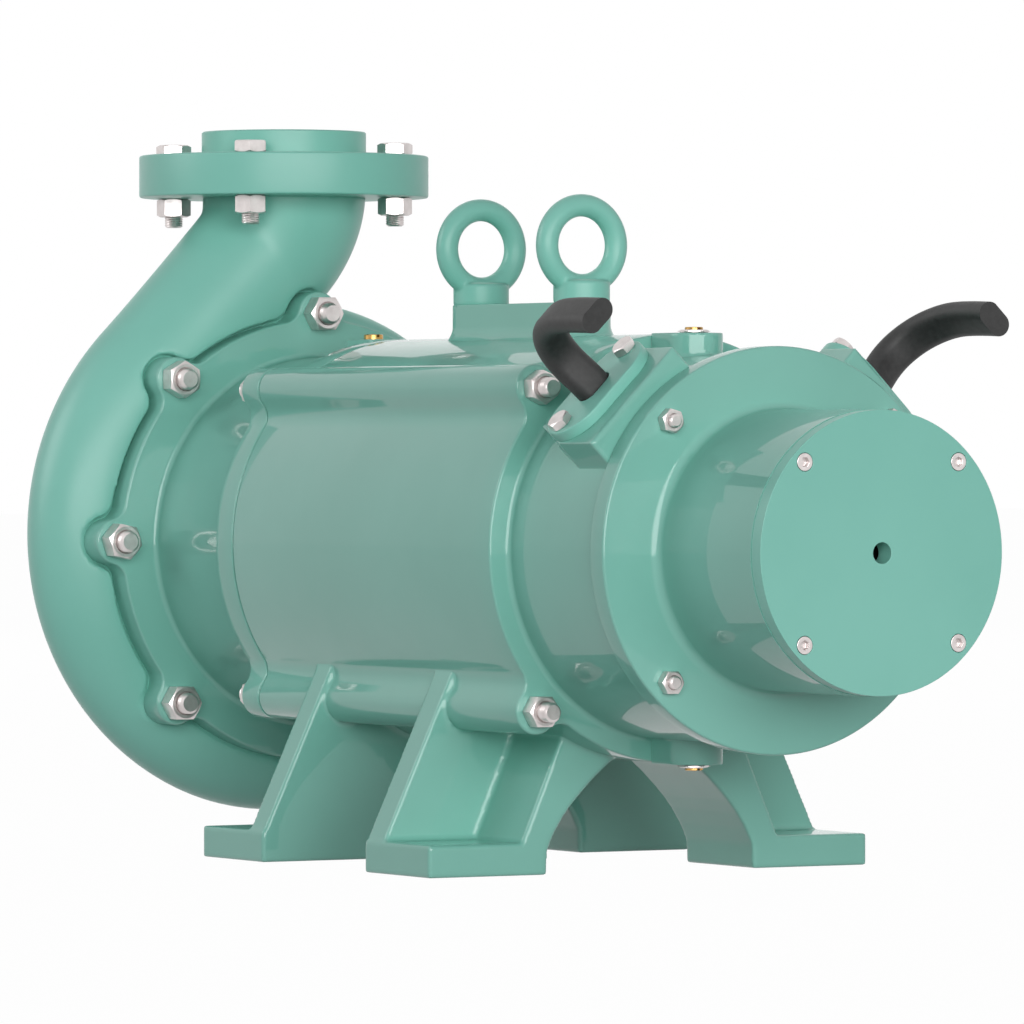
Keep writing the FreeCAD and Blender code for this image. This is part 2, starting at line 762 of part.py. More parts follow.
def companion_flange():
    """Loose discharge flange with a threaded hub and a recess for the gasket."""
    body = new_body("companion_flange", ("discharge_x", "0", "discharge_face"))
    sketch = new_sketch(body, "XZ_Plane")
    top = "(companion_flange_height + hub_height)"
    face = "companion_flange_height"
    polygon(sketch, [("discharge_bore", "gasket_height"), ("gasket_radius", "gasket_height"),
                     ("gasket_radius", "0"), ("discharge_radius", "0"), ("discharge_radius", face),
                     ("hub_radius", face), ("hub_radius", top), ("thread_radius", top),
                     ("thread_radius", f"{top} - thread_depth"), ("discharge_bore", f"{top} - thread_depth")])
    turn = body.newObject("PartDesign::Revolution", "companion_flange_revolution")
    turn.Profile = sketch
    turn.ReferenceAxis = (sketch, ["V_Axis"])
    turn.Angle = 360
    doc.recompute()
    x, y = unit_turn("discharge_bolt_circle", 45)
    holes = new_sketch(body, "XY_Plane", "0")
    circle(holes, x, y, "stud_mid + bolt_clearance")
    cut = pocket(body, holes, "companion_flange_height", reverse=True)
    repeat(body, [cut], "flange_count", "Z_Axis")
    return finish(body)


def unit_turn(radius, degrees):
    angle = math.radians(degrees)
    return f"{radius} * {math.cos(angle):.9f}", f"{radius} * {math.sin(angle):.9f}"


def discharge_gasket():
    body = new_body("discharge_gasket", ("discharge_x", "0", "discharge_face"))
    sketch = new_sketch(body, "XY_Plane")
    circle(sketch, "0", "0", "gasket_radius - fit")
    circle(sketch, "0", "0", "discharge_bore")
    pad(body, sketch, "gasket_height")
    return finish(body)


def discharge_bolts():
    """Hexagon head bolts through both discharge flanges, heads on top."""
    body = new_body("discharge_bolts", ("discharge_x", "0", "0"))
    top = "(discharge_face + companion_flange_height)"
    bottom = "(discharge_face - casing_flange - nut_mid_height - bolt_end)"
    x, y = unit_turn("discharge_bolt_circle", 45)
    shank = new_sketch(body, "XY_Plane", bottom)
    circle(shank, x, y, "stud_mid")
    first = pad(body, shank, f"{top} - {bottom}")
    head = new_sketch(body, "XY_Plane", top)
    hexagon(head, x, y, "bolt_head", 0)
    second = pad(body, head, "bolt_head_height")
    repeat(body, [first, second], "flange_count", "Z_Axis")
    return finish(body)


def discharge_nuts():
    body = new_body("discharge_nuts", ("discharge_x", "0", "0"))
    sketch = new_sketch(body, "XY_Plane", "discharge_face - casing_flange - nut_mid_height")
    x, y = unit_turn("discharge_bolt_circle", 45)
    hexagon(sketch, x, y, "nut_mid", 0)
    circle(sketch, x, y, "stud_mid + fit / 2")
    nut = pad(body, sketch, "nut_mid_height")
    repeat(body, [nut], "flange_count", "Z_Axis")
    return finish(body)


def stator_housing():
    """The motor's middle housing with tie lobes, two foot frames and the lifting block."""
    body = new_body("stator_housing")
    spin(body, [(JOINT_A, "motor_bore"), (JOINT_A, "motor_radius"), (JOINT_B, "motor_radius"),
                (JOINT_B, "motor_bore")])
    lobed(body, JOINT_A, "stator_length", "tie_circle", "tie_lobe", "tie_count", "motor_radius")
    front = f"({JOINT_A} + foot_start)"
    rear = f"({JOINT_B} - foot_end - foot_length)"
    for start, web in ((front, f"({front} + foot_length - gusset)"), (rear, rear)):
        frame = new_sketch(body, "YZ_Plane", start)
        plate = new_sketch(body, "YZ_Plane", web)
        for side in ("", "-1 * "):
            polygon(frame, [(f"{side}foot_inner", "-1 * shaft_height"),
                            (f"{side}arch_mid", "-1 * arch_mid_drop"),
                            (f"{side}arch_top", "-1 * arch_top_drop"),
                            (f"{side}(arch_top - sink)", "-1 * (motor_bore + sink)"),
                            (f"{side}(leg_top - sink)", "-1 * (leg_top_drop - sink * 5)"),
                            (f"{side}leg_top", "-1 * leg_top_drop"),
                            (f"{side}leg_foot", "-1 * (shaft_height - foot_height)"),
                            (f"{side}foot_outer", "-1 * (shaft_height - foot_height)"),
                            (f"{side}foot_outer", "-1 * shaft_height")])
            polygon(plate, [(f"{side}(leg_top - sink)", "-1 * (leg_top_drop - sink * 5)"),
                            (f"{side}leg_top", "-1 * leg_top_drop"),
                            (f"{side}leg_foot", "-1 * (shaft_height - foot_height)"),
                            (f"{side}(foot_outer - sink)", "-1 * (shaft_height - foot_height)"),
                            (f"{side}gusset_top", "-1 * gusset_top_drop"),
                            (f"{side}(gusset_top - gusset_tip)", "-1 * gusset_top_drop")])
        pad(body, frame, "foot_length")
        pad(body, plate, "gusset")
    block = new_sketch(body, "XY_Plane", "block_top")
    obround(block, "eye_pitch / 2", "block_radius", x=EYE_CENTRE)
    drop(body, block, "block_rise + sink * 5")
    drill_ring(body, JOINT_A, "stator_length", "stud_mid + bolt_clearance", "tie_circle", "tie_count")
    for side in (-1, 1):
        hole = new_sketch(body, "XY_Plane", "block_top")
        circle(hole, f"{EYE_CENTRE} + {side} * eye_pitch / 2", "0", "eye_shank + fit / 2")
        pocket(body, hole, "eye_depth")
    return finish(body)


def lifting_eyes():
    """Two eye bolts in one node: ring across the shaft, collar and shank."""
    eyes = []
    for side in (-1, 1):
        x = number(f"{EYE_CENTRE} + {side} * eye_pitch / 2")
        top = number("block_top")
        ring = Part.makeTorus(number("eye_ring"), number("eye_wire"),
                              Vector(x, 0, number("eye_centre")), Vector(1, 0, 0))
        collar = Part.makeCylinder(number("eye_collar"), number("eye_collar_height"), Vector(x, 0, top))
        depth = number("eye_depth - fit")
        shank = Part.makeCylinder(number("eye_shank"), depth + 1, Vector(x, 0, top - depth))
        eyes.append(collar.fuse([shank, ring]).removeSplitter())
    thing = doc.addObject("Part::Feature", "lifting_eyes")
    thing.Shape = Part.makeCompound([solid for eye in eyes for solid in eye.Solids])
    thing.Placement = Placement()
    return finish(thing, "lifting_eyes")


def rear_housing():
    """The motor's rear housing: flange, cable bosses, plug bosses, end wall and bush hub."""
    body = new_body("rear_housing")
    spigot = f"({JOINT_B} - spigot_length)"
    inner = f"({BELL} - rear_wall)"
    spin(body, [(spigot, "rear_bore"), (spigot, "motor_bore - fit"), (JOINT_B, "motor_bore - fit"),
                (JOINT_B, "motor_radius"), (FLANGE_B, "motor_radius"), (FLANGE_B, "rear_radius"),
                (BELL, "rear_radius"), (BELL, "bush_outer + fit / 2"), (BUSH_B, "bush_outer + fit / 2"),
                (BUSH_B, "hub_outer"), (inner, "hub_outer"), (inner, "rear_bore")])
    lobed(body, JOINT_B, f"{FLANGE_B} - {JOINT_B}", "tie_circle", "tie_lobe", "tie_count", "motor_radius")
    soften(body, "neck_fillet", ring_edge(FLANGE_B, "rear_radius"))
    low = f"({BELL} - boss_end_run)"
    for side in (1, -1):
        sketch = tilted_sketch(body, "boss_top", side)
        bend = f"{BELL} - boss_straight"
        polygon(sketch, [(BELL, "-1 * boss_half"), (BELL, "boss_half"), (bend, "boss_half"),
                         (low, "boss_end"), (low, "-1 * boss_end"), (bend, "-1 * boss_half")])
        drop(body, sketch, "boss_depth")
        seat = tilted_sketch(body, "boss_top", side)
        cable_slot(seat, "grommet_wall + fit / 2")
        pocket(body, seat, "grommet_depth")
        way = tilted_sketch(body, "boss_top", side)
        cable_slot(way, "cable_clearance")
        pocket(body, way, "boss_rise + rear_shell + sink * 3")
        for end in (-1, 1):
            hole = tilted_sketch(body, "boss_top", side)
            circle(hole, CABLE_X, f"{end} * entry_bolts", "entry_bolt + fit / 2")
            pocket(body, hole, "entry_depth + fit")
    for turn in ("", "-1 * "):
        sketch = new_sketch(body, "XY_Plane", f"{turn}plug_top")
        tongue(sketch, FLANGE_B, PLUG_B, "plug_boss")
        boss = pad(body, sketch, "boss_depth - sink * 2")
        boss.Reversed = turn == ""
        doc.recompute()
        hole = new_sketch(body, "XY_Plane", f"{turn}plug_top")
        circle(hole, PLUG_B, "0", "plug_shank + fit / 2")
        pocket(body, hole, "boss_depth + sink * 2", reverse=turn != "")
    drill_ring(body, spigot, f"{FLANGE_B} - {spigot}", "stud_mid + bolt_clearance", "tie_circle", "tie_count")
    drill_ring(body, f"({BELL} - stud_small_depth)", "stud_small_depth", "stud_small + fit / 2",
               "ring_studs", "flange_count")
    return finish(body)


def cable_slot(sketch, wall):
    """The cable's own section, grown all round by a wall or a clearance."""
    obround(sketch, "(cable_width - cable_thickness) / 2", f"cable_thickness / 2 + {wall}", True, CABLE_X)


def plug_bushes():
    """Hexagon bushes that hold the two brass plugs, top and bottom."""
    body = new_body("plug_bushes", (PLUG_B, "0", "0"))
    shank = new_sketch(body, "XY_Plane", "plug_top - plug_shank_length")
    circle(shank, "0", "0", "plug_shank")
    circle(shank, "0", "0", "plug_brass + fit / 2")
    first = pad(body, shank, "plug_shank_length")
    head = new_sketch(body, "XY_Plane", "plug_top")
    hexagon(head, "0", "0", "plug_hex * 2")
    circle(head, "0", "0", "plug_brass + fit / 2")
    second = pad(body, head, "plug_hex_height")
    repeat(body, [first, second], "plug_count")
    return finish(body)


def brass_plugs():
    body = new_body("brass_plugs", (PLUG_B, "0", "0"))
    top = "(plug_top + plug_hex_height + plug_proud)"
    sketch = new_sketch(body, "XY_Plane", "plug_top - plug_shank_length")
    circle(sketch, "0", "0", "plug_brass")
    first = pad(body, sketch, f"{top} - plug_top + plug_shank_length")
    slot = new_sketch(body, "XY_Plane", top)
    polygon(slot, slot_corners("plug_brass"))
    second = pocket(body, slot, "slot_cut")
    repeat(body, [first, second], "plug_count")
    return finish(body)


def entry_body(name, side):
    """A body whose Z points out of a cable entry."""
    return new_body(name, ("0", "0", "0"), Rotation(Vector(1, 0, 0), 45 * side))


def gland_plate(name, side):
    body = entry_body(name, side)
    sketch = new_sketch(body, "XY_Plane", "boss_top")
    obround(sketch, "plate_half", "plate_radius", True, CABLE_X)
    cable_slot(sketch, "cable_clearance")
    for end in (-1, 1):
        circle(sketch, CABLE_X, f"{end} * entry_bolts", "entry_bolt + bolt_clearance")
    pad(body, sketch, "plate_thickness")
    return finish(body)


def gland_bolts(name, side):
    body = entry_body(name, side)
    top = "(boss_top + plate_thickness)"
    for end in (-1, 1):
        shank = new_sketch(body, "XY_Plane", "boss_top - entry_depth")
        circle(shank, CABLE_X, f"{end} * entry_bolts", "entry_bolt")
        pad(body, shank, f"{top} - boss_top + entry_depth")
        head = new_sketch(body, "XY_Plane", top)
        hexagon(head, CABLE_X, f"{end} * entry_bolts", "entry_head")
        pad(body, head, "entry_head_height")
    return finish(body)


def grommet(name, side):
    body = entry_body(name, side)
    sketch = new_sketch(body, "XY_Plane", "boss_top - grommet_depth")
    cable_slot(sketch, "grommet_wall")
    cable_slot(sketch, "rest_gap")
    pad(body, sketch, "grommet_depth")
    return finish(body)


# Route of each cable's centre line, from the middle of its boss's face: along the shaft, and outwards.
CABLE_ROUTE = [(0, -16), (0, 7), (-8.7, 32.5), (0.3, 52.5), (21.7, 64.2), (47.2, 66), (72.7, 64.6)]


def cable_path(route):
    """Straight runs joined by tangent arcs, with the arcs' radii."""
    points = [Vector(x, 0, height) for x, height in route]
    edges, radii, start = [], [], points[0]
    for before, corner, after in zip(points, points[1:], points[2:]):
        back, ahead = (before - corner), (after - corner)
        shorter = min(back.Length, ahead.Length)
        reach = 0.45 * shorter
        back.normalize()
        ahead.normalize()
        turn = math.pi - back.getAngle(ahead)
        radius = reach / math.tan(turn / 2)
        enter, leave = corner + back * reach, corner + ahead * reach
        middle = corner + (back + ahead).normalize() * (radius / math.cos(turn / 2) - radius)
        edges.append(Part.LineSegment(start, enter).toShape())
        edges.append(Part.Arc(enter, middle, leave).toShape())
        radii.append(round(radius, 1))
        start = leave
    edges.append(Part.LineSegment(start, points[-1]).toShape())
    return Part.Wire(edges), radii


def cable(name, side):
    """Flat cable, bent about its thin side and cut short."""
    entry, face = number(CABLE_X), number("boss_top")
    route = [(entry + along, face + out) for along, out in CABLE_ROUTE]
    path, radii = cable_path(route)
    half = number("(cable_width - cable_thickness) / 2")
    r = number("cable_thickness / 2")
    x, height = route[0]
    corner = [Vector(x + a * r, b * half, height) for a, b in ((-1, -1), (-1, 1), (1, 1), (1, -1))]
    tip = [Vector(x, b * (half + r), height) for b in (1, -1)]
    section_wire = Part.Wire([Part.LineSegment(corner[0], corner[1]).toShape(),
                              Part.Arc(corner[1], tip[0], corner[2]).toShape(),
                              Part.LineSegment(corner[2], corner[3]).toShape(),
                              Part.Arc(corner[3], tip[1], corner[0]).toShape()])
    tube = path.makePipeShell([section_wire], True, False)
    area = Part.Face(section_wire).Area
    print(name, "bend radii", radii, "volume over section times length",
          round(tube.Volume / (area * path.Length), 4))
    thing = doc.addObject("Part::Feature", name)
    thing.Shape = tube
    thing.Placement = Placement(Vector(0, 0, 0), Rotation(Vector(1, 0, 0), 45 * side))
    return finish(thing, name)


def end_bell():
    """Ring and barrel that close the motor and hold the thrust bearing."""
    body = new_body("end_bell")
    face = f"({BELL} + ring_thickness)"
    seat = f"({COVER} - cover_thickness)"
    depth = "(cover_spigot + diaphragm_rim)"
    spin(body, [(BELL, "barrel_bore"), (BELL, "ring_radius"), (face, "ring_radius"), (face, "barrel_radius"),
                (seat, "barrel_radius"), (seat, "cover_seat"), (f"{seat} - {depth}", "cover_seat"),
                (f"{seat} - {depth}", "barrel_bore")])
    soften(body, "bell_fillet", ring_edge(face, "barrel_radius"))
    drill_ring(body, BELL, "ring_thickness", "stud_small + bolt_clearance", "ring_studs", "flange_count")
    drill_ring(body, f"({seat} - screw_depth)", "screw_depth", "screw + fit / 2", "cover_screws",
               "flange_count")
    return finish(body)


def end_cover():
    body = new_body("end_cover")
    seat = f"({COVER} - cover_thickness)"
    spin(body, [(f"{seat} - cover_spigot", "cover_port"), (f"{seat} - cover_spigot", "cover_seat - fit"),
                (seat, "cover_seat - fit"), (seat, "cover_radius"), (COVER, "cover_radius"),
                (COVER, "cover_port")])
    drill_ring(body, seat, "cover_thickness", "screw + bolt_clearance", "cover_screws", "flange_count")
    drill_ring(body, f"({COVER} - screw_head_height)", "screw_head_height", "screw_head + bolt_clearance / 2",
               "cover_screws", "flange_count")
    return finish(body)


def cover_screws():
    """Socket head screws, sunk level with the cover's face."""
    body = new_body("cover_screws")
    seat = f"({COVER} - cover_thickness)"
    head_start = f"({COVER} - screw_head_height)"
    y, z = unit_turn("cover_screws", 45)
    shank = new_sketch(body, "YZ_Plane", f"{seat} - screw_depth")
    circle(shank, y, z, "screw")
    first = pad(body, shank, f"{head_start} - {seat} + screw_depth")
    head = new_sketch(body, "YZ_Plane", head_start)
    circle(head, y, z, "screw_head")
    second = pad(body, head, "screw_head_height")
    socket = new_sketch(body, "YZ_Plane", COVER)
    hexagon(socket, y, z, "socket")
    third = pocket(body, socket, "socket_depth")
    repeat(body, [first, second, third], "flange_count")
    return finish(body)


def diaphragm():
    """Rubber cup behind the cover that evens out the pressure."""
    rim = f"({COVER} - cover_thickness - cover_spigot - diaphragm_rim)"
    cup = f"({rim} - diaphragm_depth)"
    edge = "(cover_seat - fit)"
    return turned("diaphragm", [
        (rim, edge), (f"{rim} + diaphragm_rim", edge),
        (f"{rim} + diaphragm_rim", f"{edge} - diaphragm_clamp"),
        (f"{cup} + diaphragm_rim", f"{edge} - diaphragm_clamp * 2"), (f"{cup} + diaphragm_rim", "0"),
        (cup, "0"), (cup, f"{edge} - diaphragm_clamp * 2 + diaphragm_rim"),
        (rim, f"{edge} - diaphragm_clamp + diaphragm_rim / 2")])


def stator_core():
    body = new_body("stator_core")
    bore = "(rotor_radius + air_gap)"
    spin(body, [(CORE, bore), (CORE, "motor_bore - fit"), (f"{CORE} + core_length", "motor_bore - fit"),
                (f"{CORE} + core_length", bore)])
    slot = new_sketch(body, "YZ_Plane", CORE)
    low, high = "rotor_radius - slot_width", f"{bore} + slot_depth"
    polygon(slot, [(low, "-1 * slot_width / 2"), (high, "-1 * slot_width / 2"), (high, "slot_width / 2"),
                   (low, "slot_width / 2")])
    cut = pocket(body, slot, "core_length", reverse=True)
    repeat(body, [cut], "slot_count")
    return finish(body)


def stator_winding():
    """One bar in each slot, joined by a ring of turns at each end."""
    body = new_body("stator_winding")
    low = "(rotor_radius + air_gap + winding_step)"
    high = "(rotor_radius + air_gap + slot_depth - fit)"
    far = f"({CORE} + core_length)"
    spin(body, [(f"{CORE} - winding_end", low), (f"{CORE} - winding_end", high), (CORE, high), (CORE, low)])
    bar = new_sketch(body, "YZ_Plane", f"{CORE} - winding_step")
    polygon(bar, [(low, "-1 * (slot_width / 2 - fit)"), (high, "-1 * (slot_width / 2 - fit)"),
                  (high, "slot_width / 2 - fit"), (low, "slot_width / 2 - fit")])
    bars = pad(body, bar, "core_length + winding_step * 2")
    repeat(body, [bars], "slot_count")
    spin(body, [(far, low), (far, high), (f"{far} + winding_end", high), (f"{far} + winding_end", low)])
    return finish(body)


def shaft():
    """Stepped shaft with the keyway under the impeller."""
    body = new_body("shaft")
    back = "(impeller_front + impeller_outlet + shroud * 2)"
    end = f"({BELL} + thrust_offset + thrust_disc)"
    before_a = f"{BUSH_A} - journal_run"
    after_a = f"{BUSH_A} + bush_length + journal_run"
    before_b = f"{BUSH_B} - journal_run"
    spin(body, [("shaft_start", "0"), ("shaft_start", "shaft_nose"), (back, "shaft_nose"),
                (back, "shaft_seal"), (before_a, "shaft_seal"), (before_a, "journal"), (after_a, "journal"),
                (after_a, "shaft_rotor"), (before_b, "shaft_rotor"), (before_b, "journal"), (BELL, "journal"),
                (BELL, "shaft_tail"), (end, "shaft_tail"), (end, "0")])
    slot = new_sketch(body, "YZ_Plane", "hub_start")
    polygon(slot, key_corners("fit / 2", "shaft_nose - key_height / 2 - fit / 2", "shaft_nose + sink"))
    pocket(body, slot, "key_length + fit", reverse=True)
    return finish(body)


def key_corners(clearance, low, high):
    side = f"(key_width / 2 + {clearance})"
    return [(f"-1 * {side}", low), (side, low), (side, high), (f"-1 * {side}", high)]


def impeller():
    """Closed impeller: front shroud with its wearing neck, back shroud with hub, curved blades."""
    body = new_body("impeller")
    neck = "(drum_back + wear_clearance * 8)"
    front = "(impeller_front + shroud)"
    back = "(impeller_front + shroud + impeller_outlet)"
    spin(body, [(neck, "impeller_eye"), (neck, "impeller_neck"), ("impeller_front", "impeller_neck"),
                ("impeller_front", "impeller_radius"), (front, "impeller_radius"),
                (front, "impeller_neck"), ("impeller_front", "impeller_eye")])
    centre = new_sketch(body, "YZ_Plane", f"{front} - shroud / 2")
    blade_outline(centre)
    blade = pad(body, centre, "impeller_outlet + shroud")
    repeat(body, [blade], "blade_count")
    spin(body, [("hub_start", "shaft_nose + fit / 2"), ("hub_start", "impeller_hub"),
                (f"{back} - impeller_outlet / 2", "impeller_hub + shroud"),
                (back, "impeller_eye + shroud * 3"),
                (back, "impeller_radius"), (f"{back} + shroud", "impeller_radius"),
                (f"{back} + shroud", "shaft_nose + fit / 2")])
    keyway = new_sketch(body, "YZ_Plane", "hub_start")
    top = "shaft_nose + key_height / 2 + fit / 2"
    polygon(keyway, key_corners("fit / 2", "shaft_nose - key_height / 4", top))
    pocket(body, keyway, f"{back} + shroud - hub_start", reverse=True)
    return finish(body)


def blade_outline(sketch):
    """A backward blade between the eye and the rim, as two arcs and two short ends."""
    radii = [number("impeller_eye"), number("(impeller_eye + impeller_radius) / 2"),
             number("impeller_radius - fit")]
    sweep = [0, 0.42, 1]
    thick = [1.1, 1.25, 1.4]

    def point(i, edge):
        angle = math.radians(number("blade_sweep")) * sweep[i] + edge * thick[i] * number("blade") / radii[i]
        return Vector(radii[i] * math.cos(angle), radii[i] * math.sin(angle), 0)
    low = [point(i, 0) for i in range(3)]
    high = [point(i, 1) for i in range(3)]
    sketch.addGeometry(Part.Arc(*low), False)
    sketch.addGeometry(Part.LineSegment(low[2], high[2]), False)
    sketch.addGeometry(Part.Arc(high[2], high[1], high[0]), False)
    sketch.addGeometry(Part.LineSegment(high[0], low[0]), False)


def impeller_key():
    body = new_body("impeller_key", ("hub_start", "0", "0"))
    sketch = new_sketch(body, "YZ_Plane", "fit / 2")
    polygon(sketch, key_corners("0", "shaft_nose - key_height / 2", "shaft_nose + key_height / 2"))
    pad(body, sketch, "key_length")
    return finish(body)


def impeller_nut():
    body = new_body("impeller_nut", ("hub_start", "0", "0"))
    sketch = new_sketch(body, "YZ_Plane", "-1 * nut_impeller_height")
    hexagon(sketch, "0", "0", "nut_impeller")
    circle(sketch, "0", "0", "shaft_nose + fit / 2")
    pad(body, sketch, "nut_impeller_height")
    return finish(body)


def rotor_cage():
    """Short-circuit rings at both ends of the rotor core."""
    body = new_body("rotor_cage")
    far = f"({CORE} + core_length)"
    for start in (f"({CORE} - cage)", far):
        end = f"({start} + cage)"
        spin(body, [(start, "cage_inner"), (start, "cage_outer"), (end, "cage_outer"), (end, "cage_inner")])
    return finish(body)


volute_casing()
washer("wear_ring", "drum_back + back_wall - wear_depth", "drum_back + back_wall",
       "impeller_neck + wear_clearance", "wear_seat - fit / 2")
adapter_bracket()
fastener_ring("adapter_studs", "stud_large", f"{MATE} - stud_large_depth",
              "stud_large_depth + adapter_flange + nut_large_height + stud_large_end",
              "adapter_studs", "adapter_count", turn=0)
fastener_ring("adapter_nuts", "stud_large + fit / 2", f"{MATE} + adapter_flange", "nut_large_height",
              "adapter_studs", "adapter_count", turn=0, across="nut_large")
adapter_plug()
companion_flange()
discharge_gasket()
discharge_bolts()
discharge_nuts()
stator_housing()
lifting_eyes()
fastener_ring("tie_rods", "stud_mid", f"{FLANGE_A} - nut_mid_height - stud_mid_end",
              f"{FLANGE_B} - {FLANGE_A} + 2 * (nut_mid_height + stud_mid_end)", "tie_circle", "tie_count")
fastener_ring("tie_nuts_front", "stud_mid + fit / 2", f"{FLANGE_A} - nut_mid_height", "nut_mid_height",
              "tie_circle", "tie_count", across="nut_mid")
fastener_ring("tie_nuts_rear", "stud_mid + fit / 2", FLANGE_B, "nut_mid_height",
              "tie_circle", "tie_count", across="nut_mid")
rear_housing()
plug_bushes()
brass_plugs()
for side_name, side in (("left", 1), ("right", -1)):
    gland_plate(f"gland_plate_{side_name}", side)
    gland_bolts(f"gland_bolts_{side_name}", side)
    grommet(f"grommet_{side_name}", side)
    cable(f"cable_{side_name}", side)
end_bell()
fastener_ring("ring_studs", "stud_small", f"{BELL} - stud_small_depth",
              "stud_small_depth + ring_thickness + nut_small_height + stud_small_end",
              "ring_studs", "flange_count")
fastener_ring("ring_nuts", "stud_small + fit / 2", f"{BELL} + ring_thickness", "nut_small_height",
              "ring_studs", "flange_count", across="nut_small")
end_cover()
cover_screws()
diaphragm()
stator_core()
stator_winding()
washer("front_bush", BUSH_A, f"{BUSH_A} + bush_length", "journal + running", "bush_outer")
washer("rear_bush", BUSH_B, f"{BUSH_B} + bush_length", "journal + running", "bush_outer")
washer("seal_seat", SPIGOT, f"{SPIGOT} + seal_seat", "shaft_seal + bolt_clearance", "seal_bore - fit / 2")
pad_start = f"({BELL} + thrust_offset + thrust_disc + rest_gap)"
washer("thrust_pad", pad_start, f"{pad_start} + thrust_pad", "journal", "thrust_radius")
washer("thrust_carrier", f"{pad_start} + thrust_pad", f"{pad_start} + thrust_pad + thrust_carrier",
       "journal", "barrel_bore - fit / 2")
shaft()
impeller()
impeller_key()
impeller_nut()
hub_back = "(impeller_front + impeller_outlet + shroud * 2)"
washer("seal_ring", hub_back, f"{SPIGOT} - rest_gap", "shaft_seal + fit / 2", "seal_ring_radius")
washer("sand_slinger", f"{SPIGOT} + slinger_offset", f"{SPIGOT} + slinger_offset + slinger_thickness",
       "shaft_seal + fit / 2", "slinger_radius")
washer("rotor_core", CORE, f"{CORE} + core_length", "shaft_rotor + fit / 2", "rotor_radius")
rotor_cage()
washer("thrust_disc", f"{BELL} + thrust_offset", f"{BELL} + thrust_offset + thrust_disc",
       "shaft_tail + fit / 2", "thrust_radius")

doc.recompute()
for thing in doc.Objects:
    if "Invalid" in thing.State or "Error" in thing.State:
        raise RuntimeError(f"{thing.Name} is {thing.State}")
labels = [thing.Label for thing in sub_parts]
if len(set(labels)) != len(labels):
    raise RuntimeError("two sub-parts share a name")
for thing in sub_parts:
    if thing.Shape.isNull() or not thing.Shape.isValid() or not thing.Shape.Solids:
        raise RuntimeError(f"{thing.Label} has no valid solid")
os.makedirs("parts", exist_ok=True)
for thing in sub_parts:
    thing.Shape.exportStep(f"parts/{thing.Label}.step")
    print(thing.Label, len(thing.Shape.Solids), round(thing.Shape.Volume / 1000, 1), "cm3")
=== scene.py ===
import json
import math

import bmesh
import bpy
from mathutils import Matrix, Vector

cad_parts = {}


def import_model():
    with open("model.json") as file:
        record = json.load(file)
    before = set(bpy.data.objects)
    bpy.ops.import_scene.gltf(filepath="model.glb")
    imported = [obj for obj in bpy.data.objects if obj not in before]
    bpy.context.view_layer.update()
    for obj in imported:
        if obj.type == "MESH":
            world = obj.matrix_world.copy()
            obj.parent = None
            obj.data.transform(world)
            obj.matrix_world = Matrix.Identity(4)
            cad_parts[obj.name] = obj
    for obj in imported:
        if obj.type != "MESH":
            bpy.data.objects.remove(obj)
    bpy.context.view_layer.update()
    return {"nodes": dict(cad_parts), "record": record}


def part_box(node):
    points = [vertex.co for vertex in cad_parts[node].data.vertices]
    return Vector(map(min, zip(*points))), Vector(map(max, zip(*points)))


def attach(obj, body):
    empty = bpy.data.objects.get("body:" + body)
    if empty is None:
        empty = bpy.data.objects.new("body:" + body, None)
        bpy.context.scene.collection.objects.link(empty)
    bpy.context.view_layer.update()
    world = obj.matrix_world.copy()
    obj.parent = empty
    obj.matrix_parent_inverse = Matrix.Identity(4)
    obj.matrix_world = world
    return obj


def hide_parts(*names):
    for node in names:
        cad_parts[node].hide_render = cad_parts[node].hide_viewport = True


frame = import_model()
MM = 0.001

# Camera, matched to the photograph.
CAMERA_AT = (4.69903, -2.49239, 0.06702)
AZIMUTH = 59.985
ELEVATION = 0.537
LENS = 280.29

# Stations along the shaft and heights in millimetres, as in the model.
DISCHARGE_X = 85.0
DISCHARGE_FACE = 237.5
CASING_FLANGE = 224.2
MATE = 113.5
PUMP_FLANGE_BACK = 133.0
FLANGE_A = 233.3
JOINT_A = 255.3
JOINT_B = 561.0
FLANGE_B = 582.0
BELL = 685.0
PLUG_X = 603.3
ADAPTER_PLUG_X = 206.3
GLAND_X = 649.3
EYES_X = (345.95, 470.35)

# Radii of the bolt circles and the pipe flanges, and how far from the shaft the plug bosses, the
# plugs and the gland plates end.
ADAPTER_CIRCLE = 147.6
TIE_CIRCLE = 137.0
RING_CIRCLE = 108.4
DISCHARGE_CIRCLE = 75.8
SUCTION_CIRCLE = 76.2
PLUG_BOSS = 129.8
PLUG_TOP = 133.3
GLAND_TOP = 137.0
FLANGE_RADIUS = 95.0

# Lifting eyes: height of the ring's middle, radius of its centre line, and radius of its section.
EYE_Z = 185.2
EYE_RING = 24.6
EYE_SECTION = 7

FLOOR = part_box("stator_housing")[0].z

# Light: the level that the surroundings give to surfaces, the floor's shade, and how much of
# the floor's white the camera and mirrors see.
AMBIENT = 0.08
FLOOR_SHADE = 0.3
FLOOR_SEEN = 0.985
FLOOR_MIRRORED = 0.9


def camera():
    """A camera with no roll at the photograph's angle."""
    az, el = math.radians(AZIMUTH), math.radians(ELEVATION)
    back = Vector((math.sin(az) * math.cos(el), -math.cos(az) * math.cos(el), math.sin(el)))
    right = Vector((math.cos(az), math.sin(az), 0))
    up = back.cross(right)
    data = bpy.data.cameras.new("camera")
    data.lens = LENS
    data.sensor_width = 36
    data.clip_end = 50
    thing = bpy.data.objects.new("camera", data)
    bpy.context.scene.collection.objects.link(thing)
    turn = Matrix((right, up, back)).transposed()
    thing.matrix_world = Matrix.Translation(CAMERA_AT) @ turn.to_4x4()
    bpy.context.scene.camera = thing


